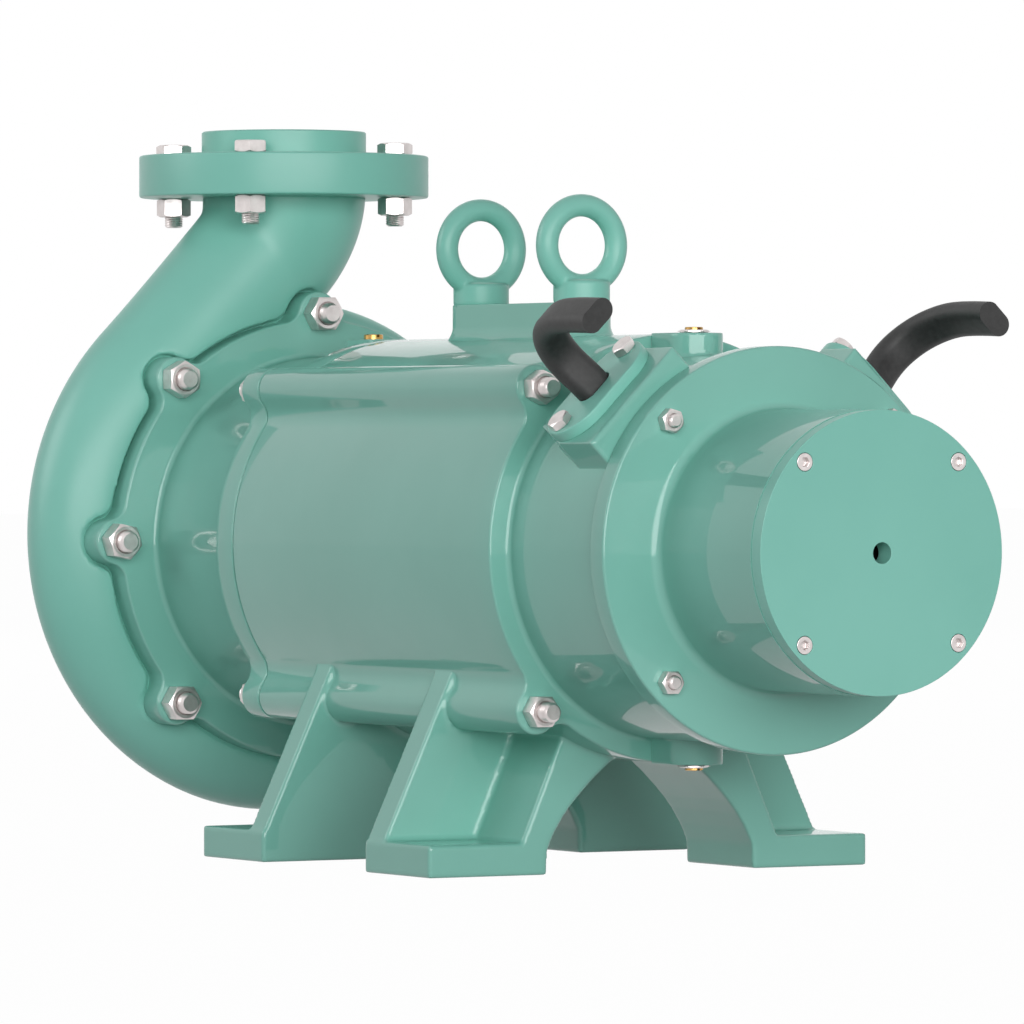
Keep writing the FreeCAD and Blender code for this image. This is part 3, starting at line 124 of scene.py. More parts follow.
def shader(name):
    """A new material's tree, its principled shader and a position node's output."""
    material = bpy.data.materials.new(name)
    material.use_nodes = True
    tree = material.node_tree
    principled = tree.nodes["Principled BSDF"]
    place = tree.nodes.new("ShaderNodeTexCoord")
    return material, tree, principled, place.outputs["Object"]


def noise(tree, place, scale, detail=3.0, rough=0.5):
    node = tree.nodes.new("ShaderNodeTexNoise")
    node.inputs["Scale"].default_value = scale
    node.inputs["Detail"].default_value = detail
    node.inputs["Roughness"].default_value = rough
    tree.links.new(place, node.inputs["Vector"])
    return node.outputs["Fac"]


def ramp(tree, value, low, high, colours):
    node = tree.nodes.new("ShaderNodeValToRGB")
    node.color_ramp.elements[0].position = low
    node.color_ramp.elements[1].position = high
    node.color_ramp.elements[0].color = (*colours[0], 1)
    node.color_ramp.elements[1].color = (*colours[1], 1)
    tree.links.new(value, node.inputs["Fac"])
    return node.outputs["Color"]


def spread(tree, value, low, high):
    """Maps a value from 0..1 to a range."""
    node = tree.nodes.new("ShaderNodeMapRange")
    node.inputs["To Min"].default_value = low
    node.inputs["To Max"].default_value = high
    tree.links.new(value, node.inputs["Value"])
    return node.outputs["Result"]


def relief(tree, principled, height, strength, distance):
    """Fine bump over the whole surface."""
    bump = tree.nodes.new("ShaderNodeBump")
    bump.inputs["Strength"].default_value = strength
    bump.inputs["Distance"].default_value = distance
    tree.links.new(height, bump.inputs["Height"])
    tree.links.new(bump.outputs["Normal"], principled.inputs["Normal"])


def enamel():
    """Glossy sea-green enamel on the motor's machined and fettled castings."""
    material, tree, principled, place = shader("sea_green_enamel")
    cloud = noise(tree, place, 9, 4)
    colour = ramp(tree, cloud, 0.35, 0.68, [(0.196, 0.491, 0.410), (0.216, 0.524, 0.441)])
    tree.links.new(colour, principled.inputs["Base Color"])
    tree.links.new(spread(tree, noise(tree, place, 45, 3), 0.34, 0.46), principled.inputs["Roughness"])
    principled.inputs["Specular IOR Level"].default_value = 0.12
    principled.inputs["Coat Weight"].default_value = 0.75
    principled.inputs["Coat Roughness"].default_value = 0.02
    relief(tree, principled, noise(tree, place, 700, 3), 0.12, 0.0002)
    return material


def casting_paint():
    """The same green, satin over the sand skin of the rougher castings."""
    material, tree, principled, place = shader("sea_green_casting")
    cloud = noise(tree, place, 7, 5)
    colour = ramp(tree, cloud, 0.32, 0.70, [(0.212, 0.542, 0.454), (0.244, 0.590, 0.498)])
    tree.links.new(colour, principled.inputs["Base Color"])
    tree.links.new(spread(tree, noise(tree, place, 120, 4), 0.29, 0.40), principled.inputs["Roughness"])
    principled.inputs["Specular IOR Level"].default_value = 0.4
    relief(tree, principled, noise(tree, place, 1100, 3, 0.65), 0.2, 0.00018)
    return material


def zinc():
    """Bright zinc plate on the fasteners, faintly clouded."""
    material, tree, principled, place = shader("zinc_plate")
    colour = ramp(tree, noise(tree, place, 160, 4), 0.3, 0.7, [(0.58, 0.53, 0.52), (0.72, 0.67, 0.66)])
    tree.links.new(colour, principled.inputs["Base Color"])
    principled.inputs["Metallic"].default_value = 0.9
    tree.links.new(spread(tree, noise(tree, place, 400, 2), 0.27, 0.40), principled.inputs["Roughness"])
    relief(tree, principled, noise(tree, place, 1500, 2), 0.12, 0.0001)
    return material


def metal(name, dark, light, rough, scale=220):
    material, tree, principled, place = shader(name)
    colour = ramp(tree, noise(tree, place, scale, 4), 0.3, 0.7, [dark, light])
    tree.links.new(colour, principled.inputs["Base Color"])
    principled.inputs["Metallic"].default_value = 1.0
    tree.links.new(spread(tree, noise(tree, place, scale * 2, 2), rough, rough + 0.15),
                   principled.inputs["Roughness"])
    relief(tree, principled, noise(tree, place, scale * 6, 2), 0.25, 0.0001)
    return material


def dull(name, dark, light, rough, scale=300):
    material, tree, principled, place = shader(name)
    colour = ramp(tree, noise(tree, place, scale, 4), 0.35, 0.65, [dark, light])
    tree.links.new(colour, principled.inputs["Base Color"])
    tree.links.new(spread(tree, noise(tree, place, scale / 2, 3), rough, rough + 0.12),
                   principled.inputs["Roughness"])
    relief(tree, principled, noise(tree, place, scale * 5, 2), 0.3, 0.0001)
    return material


def sweep(bm, rings, ends="capped"):
    """Joins rings of points into a tube: capped, open, or looped from the last ring to the first."""
    made = [[bm.verts.new(p) for p in ring] for ring in rings]
    count = len(rings[0])
    pairs = list(zip(made, made[1:]))
    if ends == "looped":
        pairs.append((made[-1], made[0]))
    for a, b in pairs:
        for i in range(count):
            j = (i + 1) % count
            bm.faces.new((a[i], a[j], b[j], b[i]))
    if ends == "capped":
        bm.faces.new(made[0])
        bm.faces.new(reversed(made[-1]))


def lathe(bm, corners, axis="X", centre=(0, 0, 0), steps=128):
    """Turns (station, radius) corners, in millimetres, about an axis through a point."""
    rings = []
    for i in range(steps):
        a = 2 * math.pi * i / steps
        ring = []
        for station, radius in corners:
            u, v = radius * math.cos(a), radius * math.sin(a)
            point = (station, u, v) if axis == "X" else (u, v, station)
            ring.append(Vector([(c + p) * MM for c, p in zip(centre, point)]))
        rings.append(ring)
    made = [[bm.verts.new(p) for p in ring] for ring in rings]
    for k in range(steps):
        a, b = made[k], made[(k + 1) % steps]
        for i in range(len(corners)):
            j = (i + 1) % len(corners)
            bm.faces.new((a[i], a[j], b[j], b[i]))


def plain(name, bm):
    """A loose working object of a bmesh."""
    mesh = bpy.data.meshes.new(name)
    bmesh.ops.recalc_face_normals(bm, faces=bm.faces)
    bm.to_mesh(mesh)
    bm.free()
    thing = bpy.data.objects.new(name, mesh)
    bpy.context.scene.collection.objects.link(thing)
    return thing


def settle(thing):
    """Applies a working object's modifiers."""
    graph = bpy.context.evaluated_depsgraph_get()
    mesh = bpy.data.meshes.new_from_object(thing.evaluated_get(graph))
    thing.modifiers.clear()
    thing.data = mesh


def cut(target, tool):
    modifier = target.modifiers.new("cut", "BOOLEAN")
    modifier.operation = "DIFFERENCE"
    modifier.solver = "EXACT"
    modifier.object = tool
    settle(target)
    bpy.data.objects.remove(tool)


def fuse(parts, voxel, rounds):
    """Melts overlapping closed parts into one skin and softens its inner corners."""
    bm = bmesh.new()
    for part in parts:
        bm.from_mesh(part.data)
        bpy.data.objects.remove(part)
    thing = plain("fused", bm)
    remesh = thing.modifiers.new("remesh", "REMESH")
    remesh.mode = "VOXEL"
    remesh.voxel_size = voxel
    smooth = thing.modifiers.new("smooth", "SMOOTH")
    smooth.factor = 0.5
    smooth.iterations = rounds
    settle(thing)
    return thing


def rod(corners, axis="X", centre=(0, 0, 0), steps=128):
    """A working solid turned from an outline that starts and ends on the axis."""
    first, last = corners[0][0], corners[-1][0]
    bm = bmesh.new()
    lathe(bm, [(first, 0)] + corners + [(last, 0)], axis, centre, steps)
    bmesh.ops.remove_doubles(bm, verts=bm.verts, dist=1e-7)
    bmesh.ops.dissolve_degenerate(bm, edges=bm.edges, dist=1e-7)
    return plain("rod", bm)


def softened(name, width, material, slot):
    """A CAD node's form with its hard edges rounded, in the node's place."""
    bm = bmesh.new()
    bm.from_mesh(frame["nodes"][name].data)
    bmesh.ops.remove_doubles(bm, verts=bm.verts, dist=2e-6)
    bmesh.ops.dissolve_limit(bm, angle_limit=math.radians(0.4), verts=bm.verts, edges=bm.edges)
    thing = plain(name + "_soft", bm)
    round_off(thing, width)
    return dress(thing, material, slot, "housing", name)


def round_off(thing, width, sharp=38, segments=3):
    """Rounds the edges that turn by more than an angle."""
    thing.data.shade_smooth()
    bevel = thing.modifiers.new("bevel", "BEVEL")
    bevel.width = width
    bevel.segments = segments
    bevel.limit_method = "ANGLE"
    bevel.angle_limit = math.radians(sharp)
    bevel.use_clamp_overlap = False
    bevel.harden_normals = True
    weigh = thing.modifiers.new("weigh", "WEIGHTED_NORMAL")
    weigh.keep_sharp = True
    settle(thing)


def dress(thing, material, slot, body, *nodes):
    """Gives a piece its material and its body, and hides the CAD nodes that it stands for."""
    thing.data.materials.clear()
    thing.data.materials.append(material)
    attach(thing, body)
    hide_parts(*nodes)
    return thing


def lobed_radius(angle, rim, circle, lobe, blend, count):
    """Radius of a round rim with lobes at an angle, with a blend in each valley."""
    pitch = 2 * math.pi / count
    off = abs((angle + pitch / 2) % pitch - pitch / 2)
    far = rim + blend
    lean = math.acos((far ** 2 + circle ** 2 - (lobe + blend) ** 2) / (2 * far * circle))
    share = lobe / (lobe + blend)
    touch = Vector((circle + (far * math.cos(lean) - circle) * share, far * math.sin(lean) * share))
    if off >= lean:
        return rim
    if off <= math.atan2(touch.y, touch.x):
        return circle * math.cos(off) + math.sqrt(lobe ** 2 - (circle * math.sin(off)) ** 2)
    return far * math.cos(lean - off) - math.sqrt(blend ** 2 - (far * math.sin(lean - off)) ** 2)


def lobed_outline(rim, circle, lobe, blend, count, turn, steps=720):
    """Points of a lobed rim about the shaft, each with its outward direction."""
    points = []
    for k in range(steps):
        a = 2 * math.pi * k / steps
        r = lobed_radius(a - math.radians(turn), rim, circle, lobe, blend, count)
        points.append(Vector((r * math.cos(a), r * math.sin(a))))
    outline = []
    for k, point in enumerate(points):
        along = points[(k + 1) % steps] - points[k - 1]
        outline.append((point, Vector((along.y, -along.x)).normalized()))
    return outline


def rounded_steps(low, high, first, last, steps=5):
    """Stations and insets that round a plate's two rims."""
    angles = [math.radians(90 * k / steps) for k in range(steps + 1)]
    start = [(low + first * (1 - math.cos(a)), first * (1 - math.sin(a))) for a in angles]
    end = [(high - last * (1 - math.cos(a)), last * (1 - math.sin(a))) for a in reversed(angles)]
    return start + end


def rimmed(outline, low, high, first, last, bore, holes=()):
    """A working plate about the shaft: rounded rims, a round bore and drilled holes."""
    rings = []
    for x, inset in rounded_steps(low, high, first, last):
        rings.append([Vector((x, *(point - away * inset))) * MM for point, away in outline])
    for x in (high, low):
        rings.append([Vector((x, *(point.normalized() * bore))) * MM for point, away in outline])
    bm = bmesh.new()
    sweep(bm, rings, ends="looped")
    thing = plain("rimmed", bm)
    for spot, radius in holes:
        cut(thing, rod([(low - 2, radius), (high + 2, radius)], "X", (0, spot.y, spot.z), 32))
    return thing


def arc(x, r, radius, start, end, steps=6):
    """Points of an arc about (x, r), by angle in degrees."""
    angles = [math.radians(start + (end - start) * k / steps) for k in range(steps + 1)]
    return [(x + radius * math.cos(a), r + radius * math.sin(a)) for a in angles]


def turned(corners, axis="X", centre=(0, 0, 0), steps=240):
    """A working ring of a closed outline of (station, radius) corners."""
    bm = bmesh.new()
    lathe(bm, corners, axis, centre, steps)
    return plain("turned", bm)


# Axes for prisms: along the shaft, and upright.
ALONG = Matrix(((0, 0, 1, 0), (1, 0, 0, 0), (0, 1, 0, 0), (0, 0, 0, 1)))
UPRIGHT = Matrix.Identity(4)


def prism(points, axes, low, high):
    """A working prism of an outline, from one height to another along the axes' Z."""
    bm = bmesh.new()
    sweep(bm, [[axes @ Vector((x, y, h)) * MM for x, y in points] for h in (low, high)])
    return plain("prism", bm)


def lobed_plate(low, high, *shape):
    """A working prism of a lobed rim between two stations along the shaft."""
    return prism([point for point, away in lobed_outline(*shape)], ALONG, low, high)


def tongue(start, centre, radius, steps=24):
    """An outline with a flat end at one station and a round end about another."""
    side = math.copysign(1, centre - start)
    angles = [math.pi * (k / steps - 0.5) for k in range(steps + 1)]
    tip = [(centre + side * radius * math.cos(a), radius * math.sin(a)) for a in angles]
    return [(start, -radius)] + tip + [(start, radius)]


def obround(half, radius, x=0.0, y=0.0, upright=False, steps=24):
    """A slot's outline about a point."""
    points = []
    for end in (1, -1):
        for k in range(steps + 1):
            a = math.pi * (k / steps - 0.5)
            u, v = end * (half + radius * math.cos(a)), end * radius * math.sin(a)
            points.append((x - v, y + u) if upright else (x + u, y + v))
    return points


def assemble(name, parts, material, node, slot="paint", body="housing", sharp=32):
    """Joins working parts into one piece with smooth curves and crisp edges."""
    bm = bmesh.new()
    for part in parts:
        bm.from_mesh(part.data)
        bpy.data.objects.remove(part)
    mesh = bpy.data.meshes.new(name)
    bm.to_mesh(mesh)
    bm.free()
    thing = bpy.data.objects.new(name, mesh)
    bpy.context.scene.collection.objects.link(thing)
    mesh.shade_smooth()
    mesh.set_sharp_from_angle(angle=math.radians(sharp))
    return dress(thing, material, slot, body, node)


def sector(outline, inset, start, end):
    """The part of an outline between two angles, set in and closed by its chord."""
    count = len(outline)
    chosen = range(round(count * start / 360), round(count * end / 360) + 1)
    return [tuple(outline[k % count][0] - outline[k % count][1] * inset) for k in chosen]


MOTOR = lobed_outline(129.5, TIE_CIRCLE, 14, 12, 4, 45)
PUMP_SIDE = lobed_outline(143.5, ADAPTER_CIRCLE, 14.5, 12, 8, 0)
HIDDEN = 0.5   # how far the caps of the feet and the block lie under the motor's surface

# Outlines of a foot across the shaft, and for each foot the first and last station of its legs
# and of its webs.
ARCH = [(73, -196.6), (72.7, -182), (68, -172), (62, -162.5), (55.6, -154.5), (48.6, -147.2),
        (41.8, -140.6), (35, -134.6), (28, -129), (20, -124)]
LEG = [(20, -112), (61.5, -105), (63.5, -114.9), (90.4, -177), (154.7, -177), (154.7, -196.6)]
WEB = [(61.5, -104), (63.5, -114.9), (90.4, -179), (154.2, -179), (105.6, -74.6), (89.4, -74.6)]
FRAMES = [(264.0, 344.0, 324.0, 344.0), (473.8, 553.8, 473.8, 496.0)]


def tie_holes():
    """Places and radius of the holes for the long tie rods."""
    return [(spot, 6.5) for spot in circle_of(4, TIE_CIRCLE, 45)]


def stator(material):
    """The motor's middle housing, its two foot frames and the lifting block."""
    body = rimmed(MOTOR, JOINT_A + 1.5, JOINT_B, 1.0, 0, 112, tie_holes())
    assemble("stator_body", [body], material, "stator_housing")
    feet = []
    for start, end, web_start, web_end in FRAMES:
        feet.append(prism(sector(MOTOR, HIDDEN, 195, 345), ALONG, start - 7, end + 6.5))
        for side in (1, -1):
            mirrored = [(side * y, z) for y, z in ARCH + LEG]
            feet.append(prism(mirrored, ALONG, start, end))
            feet.append(prism([(side * y, z) for y, z in WEB], ALONG, web_start, web_end))
    assemble("stator_feet", [fuse(feet, 0.0014, 4)], material, "stator_housing", sharp=60)
    middle = (JOINT_A + JOINT_B) / 2
    base = prism(sector(MOTOR, HIDDEN, 62, 118), ALONG, middle - 92, middle + 92)
    bm = bmesh.new()
    rings = [(116, 22), (126.5, 22), (129, 20.4), (132, 18.8), (135, 18), (150, 18)]
    sweep(bm, [[Vector((x, y, z)) * MM for x, y in obround(62.2, r, middle)] for z, r in rings])
    block = fuse([base, plain("block", bm)], 0.0012, 3)
    assemble("lifting_block", [block], material, "stator_housing", sharp=60)


def adapter(material):
    """The bracket between casing and motor: two lobed flanges, neck, web and plug boss."""
    front = rimmed(PUMP_SIDE, MATE, PUMP_FLANGE_BACK, 0.8, 1.5, 110,
                   [(spot, 7.5) for spot in circle_of(8, ADAPTER_CIRCLE, 0)])
    rear = rimmed(MOTOR, FLANGE_A, JOINT_A, 1.5, 1.0, 110, tie_holes())
    neck = [(102, 26), (102, 103.9), (114, 103.9), (114, 122), (132.5, 122.6)]
    neck += arc(136.5, 122.5, 3.5, 180, 270) + arc(229.8, 122.5, 3.5, 270, 360)
    neck += [(233.8, 122.6), (254, 122), (254, 111.9), (261.3, 111.9), (261.3, 99), (225.3, 99),
             (225.3, 27.05), (165.3, 27.05), (165.3, 38), (211.3, 38), (211.3, 105), (118, 105), (118, 26)]
    boss = prism(tongue(FLANGE_A + 1, ADAPTER_PLUG_X, 17.5), UPRIGHT, 106, PLUG_BOSS)
    base = prism(sector(lobed_outline(118.5, 118.5, 1, 1, 4, 0), 0.0, 66, 114), ALONG, 182, 232)
    lump = fuse([boss, base], 0.0011, 3)
    assemble("adapter_body", [front, rear, turned(neck)], material, "adapter_bracket")
    assemble("adapter_boss", [lump], material, "adapter_bracket", sharp=60)


def motor_rear(material):
    """The rear housing: flange, shell, inner wall with the bush hub, and its bosses."""
    flange = rimmed(MOTOR, JOINT_B, FLANGE_B, 0, 1.5, 108, tie_holes())
    shell = [(555, 99), (555, 111.9), (561.6, 111.9), (561.6, 119.4), (581.5, 119.6)]
    shell += arc(585.5, 119.5, 3.5, 180, 270)
    shell += [(685, 116), (685, 27.05), (608, 27.05), (608, 38), (668, 38), (668, 99)]
    assemble("rear_shell", [flange, turned(shell)], material, "rear_housing")
    round_shell = lobed_outline(115.5, 115.5, 1, 1, 4, 0)
    bosses = [prism(sector(round_shell, 0.0, 15, 165), ALONG, 583, 684.5),
              prism(sector(round_shell, 0.0, 245, 295), ALONG, 583, 650)]
    for side in (1, -1):
        tilt = Matrix.Rotation(math.radians(45 * side), 4, "X")
        edge = [(685, -40), (685, 40), (647, 40), (611, 26), (611, -26), (647, -40)]
        bosses.append(prism(edge, tilt, 101, 130))
        flip = Matrix.Diagonal((1, side, side, 1))
        bosses.append(prism(tongue(FLANGE_B - 0.5, PLUG_X, 17.5), flip, 106, PLUG_BOSS))
    assemble("rear_bosses", [fuse(bosses, 0.0012, 3)], material, "rear_housing", sharp=60)


def end_shell(material):
    """The ring and barrel that close the motor."""
    ring = [(BELL, 66)] + arc(BELL + 1.5, 119.5, 1.5, 180, 90) + arc(BELL + 13.7, 119.5, 1.5, 90, 0)
    ring += arc(BELL + 21.2, 89.4, 6, 180, 270, 8)
    ring += [(803, 83.4), (803, 70), (796, 70), (796, 66)]
    bell = turned(ring)
    for spot in circle_of(4, RING_CIRCLE, 45):
        cut(bell, rod([(BELL - 2, 4.5), (BELL + 18, 4.5)], "X", (0, spot.y, spot.z), 24))
    assemble("bell_shell", [bell], material, "end_bell")


def loose_flange(material):
    """The threaded flange on top of the discharge."""
    z = DISCHARGE_FACE
    edge = [(z + 1.5, 40), (z + 1.5, 62), (z, 62), (z, FLANGE_RADIUS)]
    edge += arc(z + 12.6, FLANGE_RADIUS - 1.5, 1.5, 90, 0)
    edge += [(z + 14.1, 54.6), (z + 14.7, 54), (z + 29.1, 54), (z + 29.9, 53.2), (z + 29.9, 44.6)]
    edge += [(z + 28.9, 43.5), (z + 7.9, 43.5), (z + 7.9, 40)]
    thing = turned(edge, "Z", (DISCHARGE_X, 0, 0))
    for spot in circle_of(4, DISCHARGE_CIRCLE, 45, "Z", (DISCHARGE_X, 0, 0)):
        cut(thing, rod([(z - 2, 6.5), (z + 16, 6.5)], "Z", (spot.x, spot.y, 0), 24))
    assemble("loose_flange", [thing], material, "companion_flange")


def gland_plates(material):
    """The plates that hold each cable in its entry."""
    for name, side in (("left", 1), ("right", -1)):
        tilt = Matrix.Rotation(math.radians(45 * side), 4, "X")
        rings = [[tilt @ Vector((x, y, h)) * MM for x, y in obround(17, 22 - inset, GLAND_X, 0, True, 32)]
                 for h, inset in rounded_steps(130, GLAND_TOP, 0.3, 1.1, 4)]
        bm = bmesh.new()
        sweep(bm, rings)
        plate = plain("plate", bm)
        cut(plate, prism(obround(4.8, 7.4, GLAND_X, 0, True), tilt, 125, 142))
        assemble("gland_plate_" + name + "_cast", [plate], material, "gland_plate_" + name)


def plugs(brass, hexes):
    """Brass plugs with a screwdriver slot: two in hexagon bushes, one bare in the adapter."""
    bushes, heads = bmesh.new(), []
    for side in (1, -1):
        spot = local_frame((PLUG_X, 0, side * PLUG_BOSS), (0, 0, side))
        hexagon_piece(bushes, spot, 17.2, 1.9, 5.6)
        heads.append(slotted(PLUG_X, side, 115.8, PLUG_TOP, 5.5))
    hardware("plug_bush_pair", bushes, "plug_bushes", hexes)
    assemble("brass_plug_pair", heads, brass, "brass_plugs", "brass")
    bare = slotted(ADAPTER_PLUG_X, 1, 115.8, PLUG_TOP - 0.1, 6.2)
    assemble("small_brass_plug", [bare], brass, "adapter_plug", "brass")


def slotted(x, side, low, high, radius):
    """A working plug with a chamfered head and a slot across it."""
    plug = rod([(side * low, radius), (side * (high - 0.4), radius), (side * high, radius - 0.4)], "Z",
               (x, 0, 0), 48)
    slot = [(x - radius - 1, -0.9), (x + radius + 1, -0.9), (x + radius + 1, 0.9), (x - radius - 1, 0.9)]
    flip = Matrix.Diagonal((1, side, side, 1))
    cut(plug, prism(slot, flip, high - 1.7, high + 2))
    return plug


# The spiral by degrees: where it starts and ends, the radius of its centre line and of its tube with
# the growth of each per degree, what eases the tube's growth and from where, and the neck's bend.
SPIRAL = {"start": -80.0, "end": 225.0, "centre": 136.8, "centre_growth": 0.027, "tube": 30.0,
          "tube_growth": 0.093, "ease": 0.045, "ease_angle": 110.0, "bend": 70.0}


def spiral_rings(shrink, width, growth, end_radius, centre_x, top, steps=90, around=64):
    """Rings of the spiral and its neck, from the tongue to the discharge."""
    def ring(x, at, heading, radial, axial):
        across = heading.cross(Vector((1, 0, 0))).normalized()
        turns = [2 * math.pi * k / around for k in range(around)]
        return [(Vector((x, at.y, at.z)) + across * radial * math.cos(t)
                 + Vector((axial * math.sin(t), 0, 0))) * MM for t in turns]
    rings = []
    for i in range(steps):
        degrees = SPIRAL["start"] + (SPIRAL["end"] - SPIRAL["start"]) * i / (steps - 1)
        tube = SPIRAL["tube"] + SPIRAL["tube_growth"] * degrees
        tube -= SPIRAL["ease"] * max(0, degrees - SPIRAL["ease_angle"])
        centre = SPIRAL["centre"] + SPIRAL["centre_growth"] * degrees
        a = math.radians(degrees)
        heading = Vector((0, -math.sin(a), -math.cos(a)))
        point = Vector((0, centre * math.cos(a), -centre * math.sin(a)))
        axial = width + growth * degrees
        rings.append(ring(centre_x, point, heading, tube - shrink, min(axial, tube - shrink)))
    bend = SPIRAL["bend"]
    turn = math.radians(270 - SPIRAL["end"])
    run = (-bend * (1 - math.cos(turn)) - point.y) / heading.y
    corner = point + heading * run
    path = [(point + heading * run * k / 8, heading) for k in range(1, 8)]
    for k in range(13):
        angle = turn * (1 - k / 12)
        rise = bend * (math.sin(turn) - math.sin(angle))
        place = Vector((0, -bend * (1 - math.cos(angle)), corner.z + rise))
        path.append((place, Vector((0, math.sin(angle), math.cos(angle)))))
    for k, (place, way) in enumerate(path):
        share = (k + 1) / len(path)
        share = share * share * (3 - 2 * share)
        x = centre_x + (DISCHARGE_X - centre_x) * share
        radial = tube - shrink + (end_radius - tube + shrink) * share
        rings.append(ring(x, place, way, radial, min(axial + (end_radius - axial) * share, radial)))
    rings.append(ring(DISCHARGE_X, Vector((0, 0, top)), Vector((0, 0, 1)), end_radius, end_radius))
    return rings


def volute(material):
    """The pump casing's cast skin: spiral, drum, lobed rim and neck, hollow inside."""
    bm = bmesh.new()
    sweep(bm, spiral_rings(0, 25.5, 0.05, 54, DISCHARGE_X, 226))
    drum = rod([(16, 54), (42, 54), (50, 62), (50, 135), (MATE, 135)])
    rim = lobed_plate(95.5, MATE, 146, ADAPTER_CIRCLE, 17, 12, 8, 0)
    skin = fuse([plain("spiral", bm), drum, rim], 0.0018, 14)
    cut(skin, lobed_plate(MATE, MATE + 70, 145.5, ADAPTER_CIRCLE, 16.5, 12, 8, 0))
    skin = fuse([skin], 0.0015, 6)
    bm = bmesh.new()
    sweep(bm, spiral_rings(8, 14, 0.02, 40, DISCHARGE_X - 5, 240))
    hollow = fuse([plain("water", bm), rod([(60, 104), (MATE + 5, 104)])], 0.003, 4)
    cut(skin, hollow)
    cut(skin, rod([(10, 40), (70, 40)]))
    skin.name = "volute_skin"
    skin.data.shade_smooth()
    dress(skin, material, "paint", "housing", "volute_casing")
    flanges = [bolted_flange("X", (0, 0, 0), 0, 18, 40, SUCTION_CIRCLE, 8, 1.5, 1.5),
               bolted_flange("Z", (DISCHARGE_X, 0, 0), CASING_FLANGE, DISCHARGE_FACE, 40,
                             DISCHARGE_CIRCLE, 6.5, 1.5, 0.0)]
    for name, thing in zip(("suction_flange", "casing_flange"), flanges):
        assemble(name, [thing], material, "volute_casing")


def bolted_flange(axis, centre, low, high, bore, circle, hole, first, last):
    """A drilled flange with rounded rims, about an axis through a point."""
    r = FLANGE_RADIUS
    edge = [(low, bore)] + (arc(low + first, r - first, first, 180, 90) if first else [(low, r)])
    edge += (arc(high - last, r - last, last, 90, 0) if last else [(high, r)]) + [(high, bore)]
    thing = turned(edge, axis, centre)
    for spot in circle_of(4, circle, 45, axis, centre):
        place = (0, spot.y, spot.z) if axis == "X" else (spot.x, spot.y, 0)
        cut(thing, rod([(low - 2, hole), (high + 2, hole)], axis, place, 32))
    return thing


# Route of each cable's centre line: station along the shaft and height along its entry.
CABLE_ROUTE = [(GLAND_X, 114.0), (GLAND_X, GLAND_TOP), (640.6, 162.5), (649.6, 182.5), (671.0, 194.2),
               (696.5, 196.0), (722.0, 194.6)]
CABLE_WIDTH = 23.6
CABLE_THICKNESS = 14.0


def entry_axes(side):
    """The directions out of a cable entry and across it."""
    slope = math.sqrt(0.5)
    return Vector((0, -side * slope, slope)), Vector((0, slope, side * slope))


def cable(name, side, node, material):
    """A flat cable as a mesh that follows its route's own smooth curve."""
    out, across = entry_axes(side)
    curve = bpy.data.curves.new(name + "_line", "CURVE")
    curve.dimensions = "3D"
    spline = curve.splines.new("NURBS")
    spline.points.add(len(CABLE_ROUTE) - 1)
    for point, (x, height) in zip(spline.points, CABLE_ROUTE):
        place = Vector((x, 0, 0)) * MM + out * height * MM
        point.co = (*place, 1)
    spline.order_u = 3
    spline.use_endpoint_u = True
    spline.resolution_u = 12
    line = bpy.data.objects.new(name + "_line", curve)
    bpy.context.scene.collection.objects.link(line)
    sampled = bpy.data.meshes.new_from_object(line)
    path = [v.co.copy() for v in sampled.vertices]
    bpy.data.objects.remove(line)
    half = (CABLE_WIDTH - CABLE_THICKNESS) / 2 * MM
    r = CABLE_THICKNESS / 2 * MM
    rings = []
    for i, point in enumerate(path):
        ahead = (path[min(i + 1, len(path) - 1)] - path[max(i - 1, 0)]).normalized()
        thin = ahead.cross(across).normalized()
        ring = []
        for k in range(40):
            a = 2 * math.pi * k / 40
            shift = half if math.sin(a) >= 0 else -half
            ring.append(point + across * (shift + r * math.sin(a)) + thin * (r * math.cos(a)))
        rings.append(ring)
    bm = bmesh.new()
    sweep(bm, rings)
    piece = plain(name, bm)
    piece.data.materials.append(material)
    piece.data.shade_smooth()
    piece.data.set_sharp_from_angle(angle=math.radians(40))
    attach(piece, "housing")
    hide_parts(node)


def local_frame(place, axis, turn=0.0):
    """Local axes at a point, in millimetres, with Z along the given axis."""
    axis = Vector(axis).normalized()
    side = Vector((0, 1, 0)) if abs(axis.x) > 0.5 else Vector((1, 0, 0))
    side = (side - axis * side.dot(axis)).normalized()
    other = axis.cross(side)
    a = math.radians(turn)
    u = side * math.cos(a) + other * math.sin(a)
    basis = Matrix((u, axis.cross(u), axis)).transposed().to_4x4()
    return Matrix.Scale(MM, 4) @ Matrix.Translation(place) @ basis


def stack(bm, spot, rings):
    """Joins rings of (radius list, height list) about a local axis and closes both ends."""
    count = len(rings[0][0])
    turns = [2 * math.pi * k / count for k in range(count)]
    points = [[spot @ Vector((r * math.cos(t), r * math.sin(t), h))
               for t, r, h in zip(turns, radii, heights)] for radii, heights in rings]
    sweep(bm, points)


def hexagon_piece(bm, spot, across, height, hole=0.0):
    """A nut, or a bolt's head where there is no hole, with its corners chamfered."""
    count = 72
    flat = across / 2
    reach = [flat / math.cos((math.radians(360 * k / count) % (math.pi / 3)) - math.pi / 6)
             for k in range(count)]
    inner = flat * 0.93
    drop = [(r - inner) * math.tan(math.radians(30)) for r in reach]
    circle = [inner] * count
    rings = [(circle, [0.0] * count), (reach, drop), (reach, [height - d for d in drop]),
             (circle, [height] * count)]
    if hole:
        rings += [([hole * 1.12] * count, [height] * count), ([hole] * count, [height - hole * 0.15] * count)]
    else:
        rings += [([inner * 0.5] * count, [height - 0.15] * count)]
    stack(bm, spot, rings)


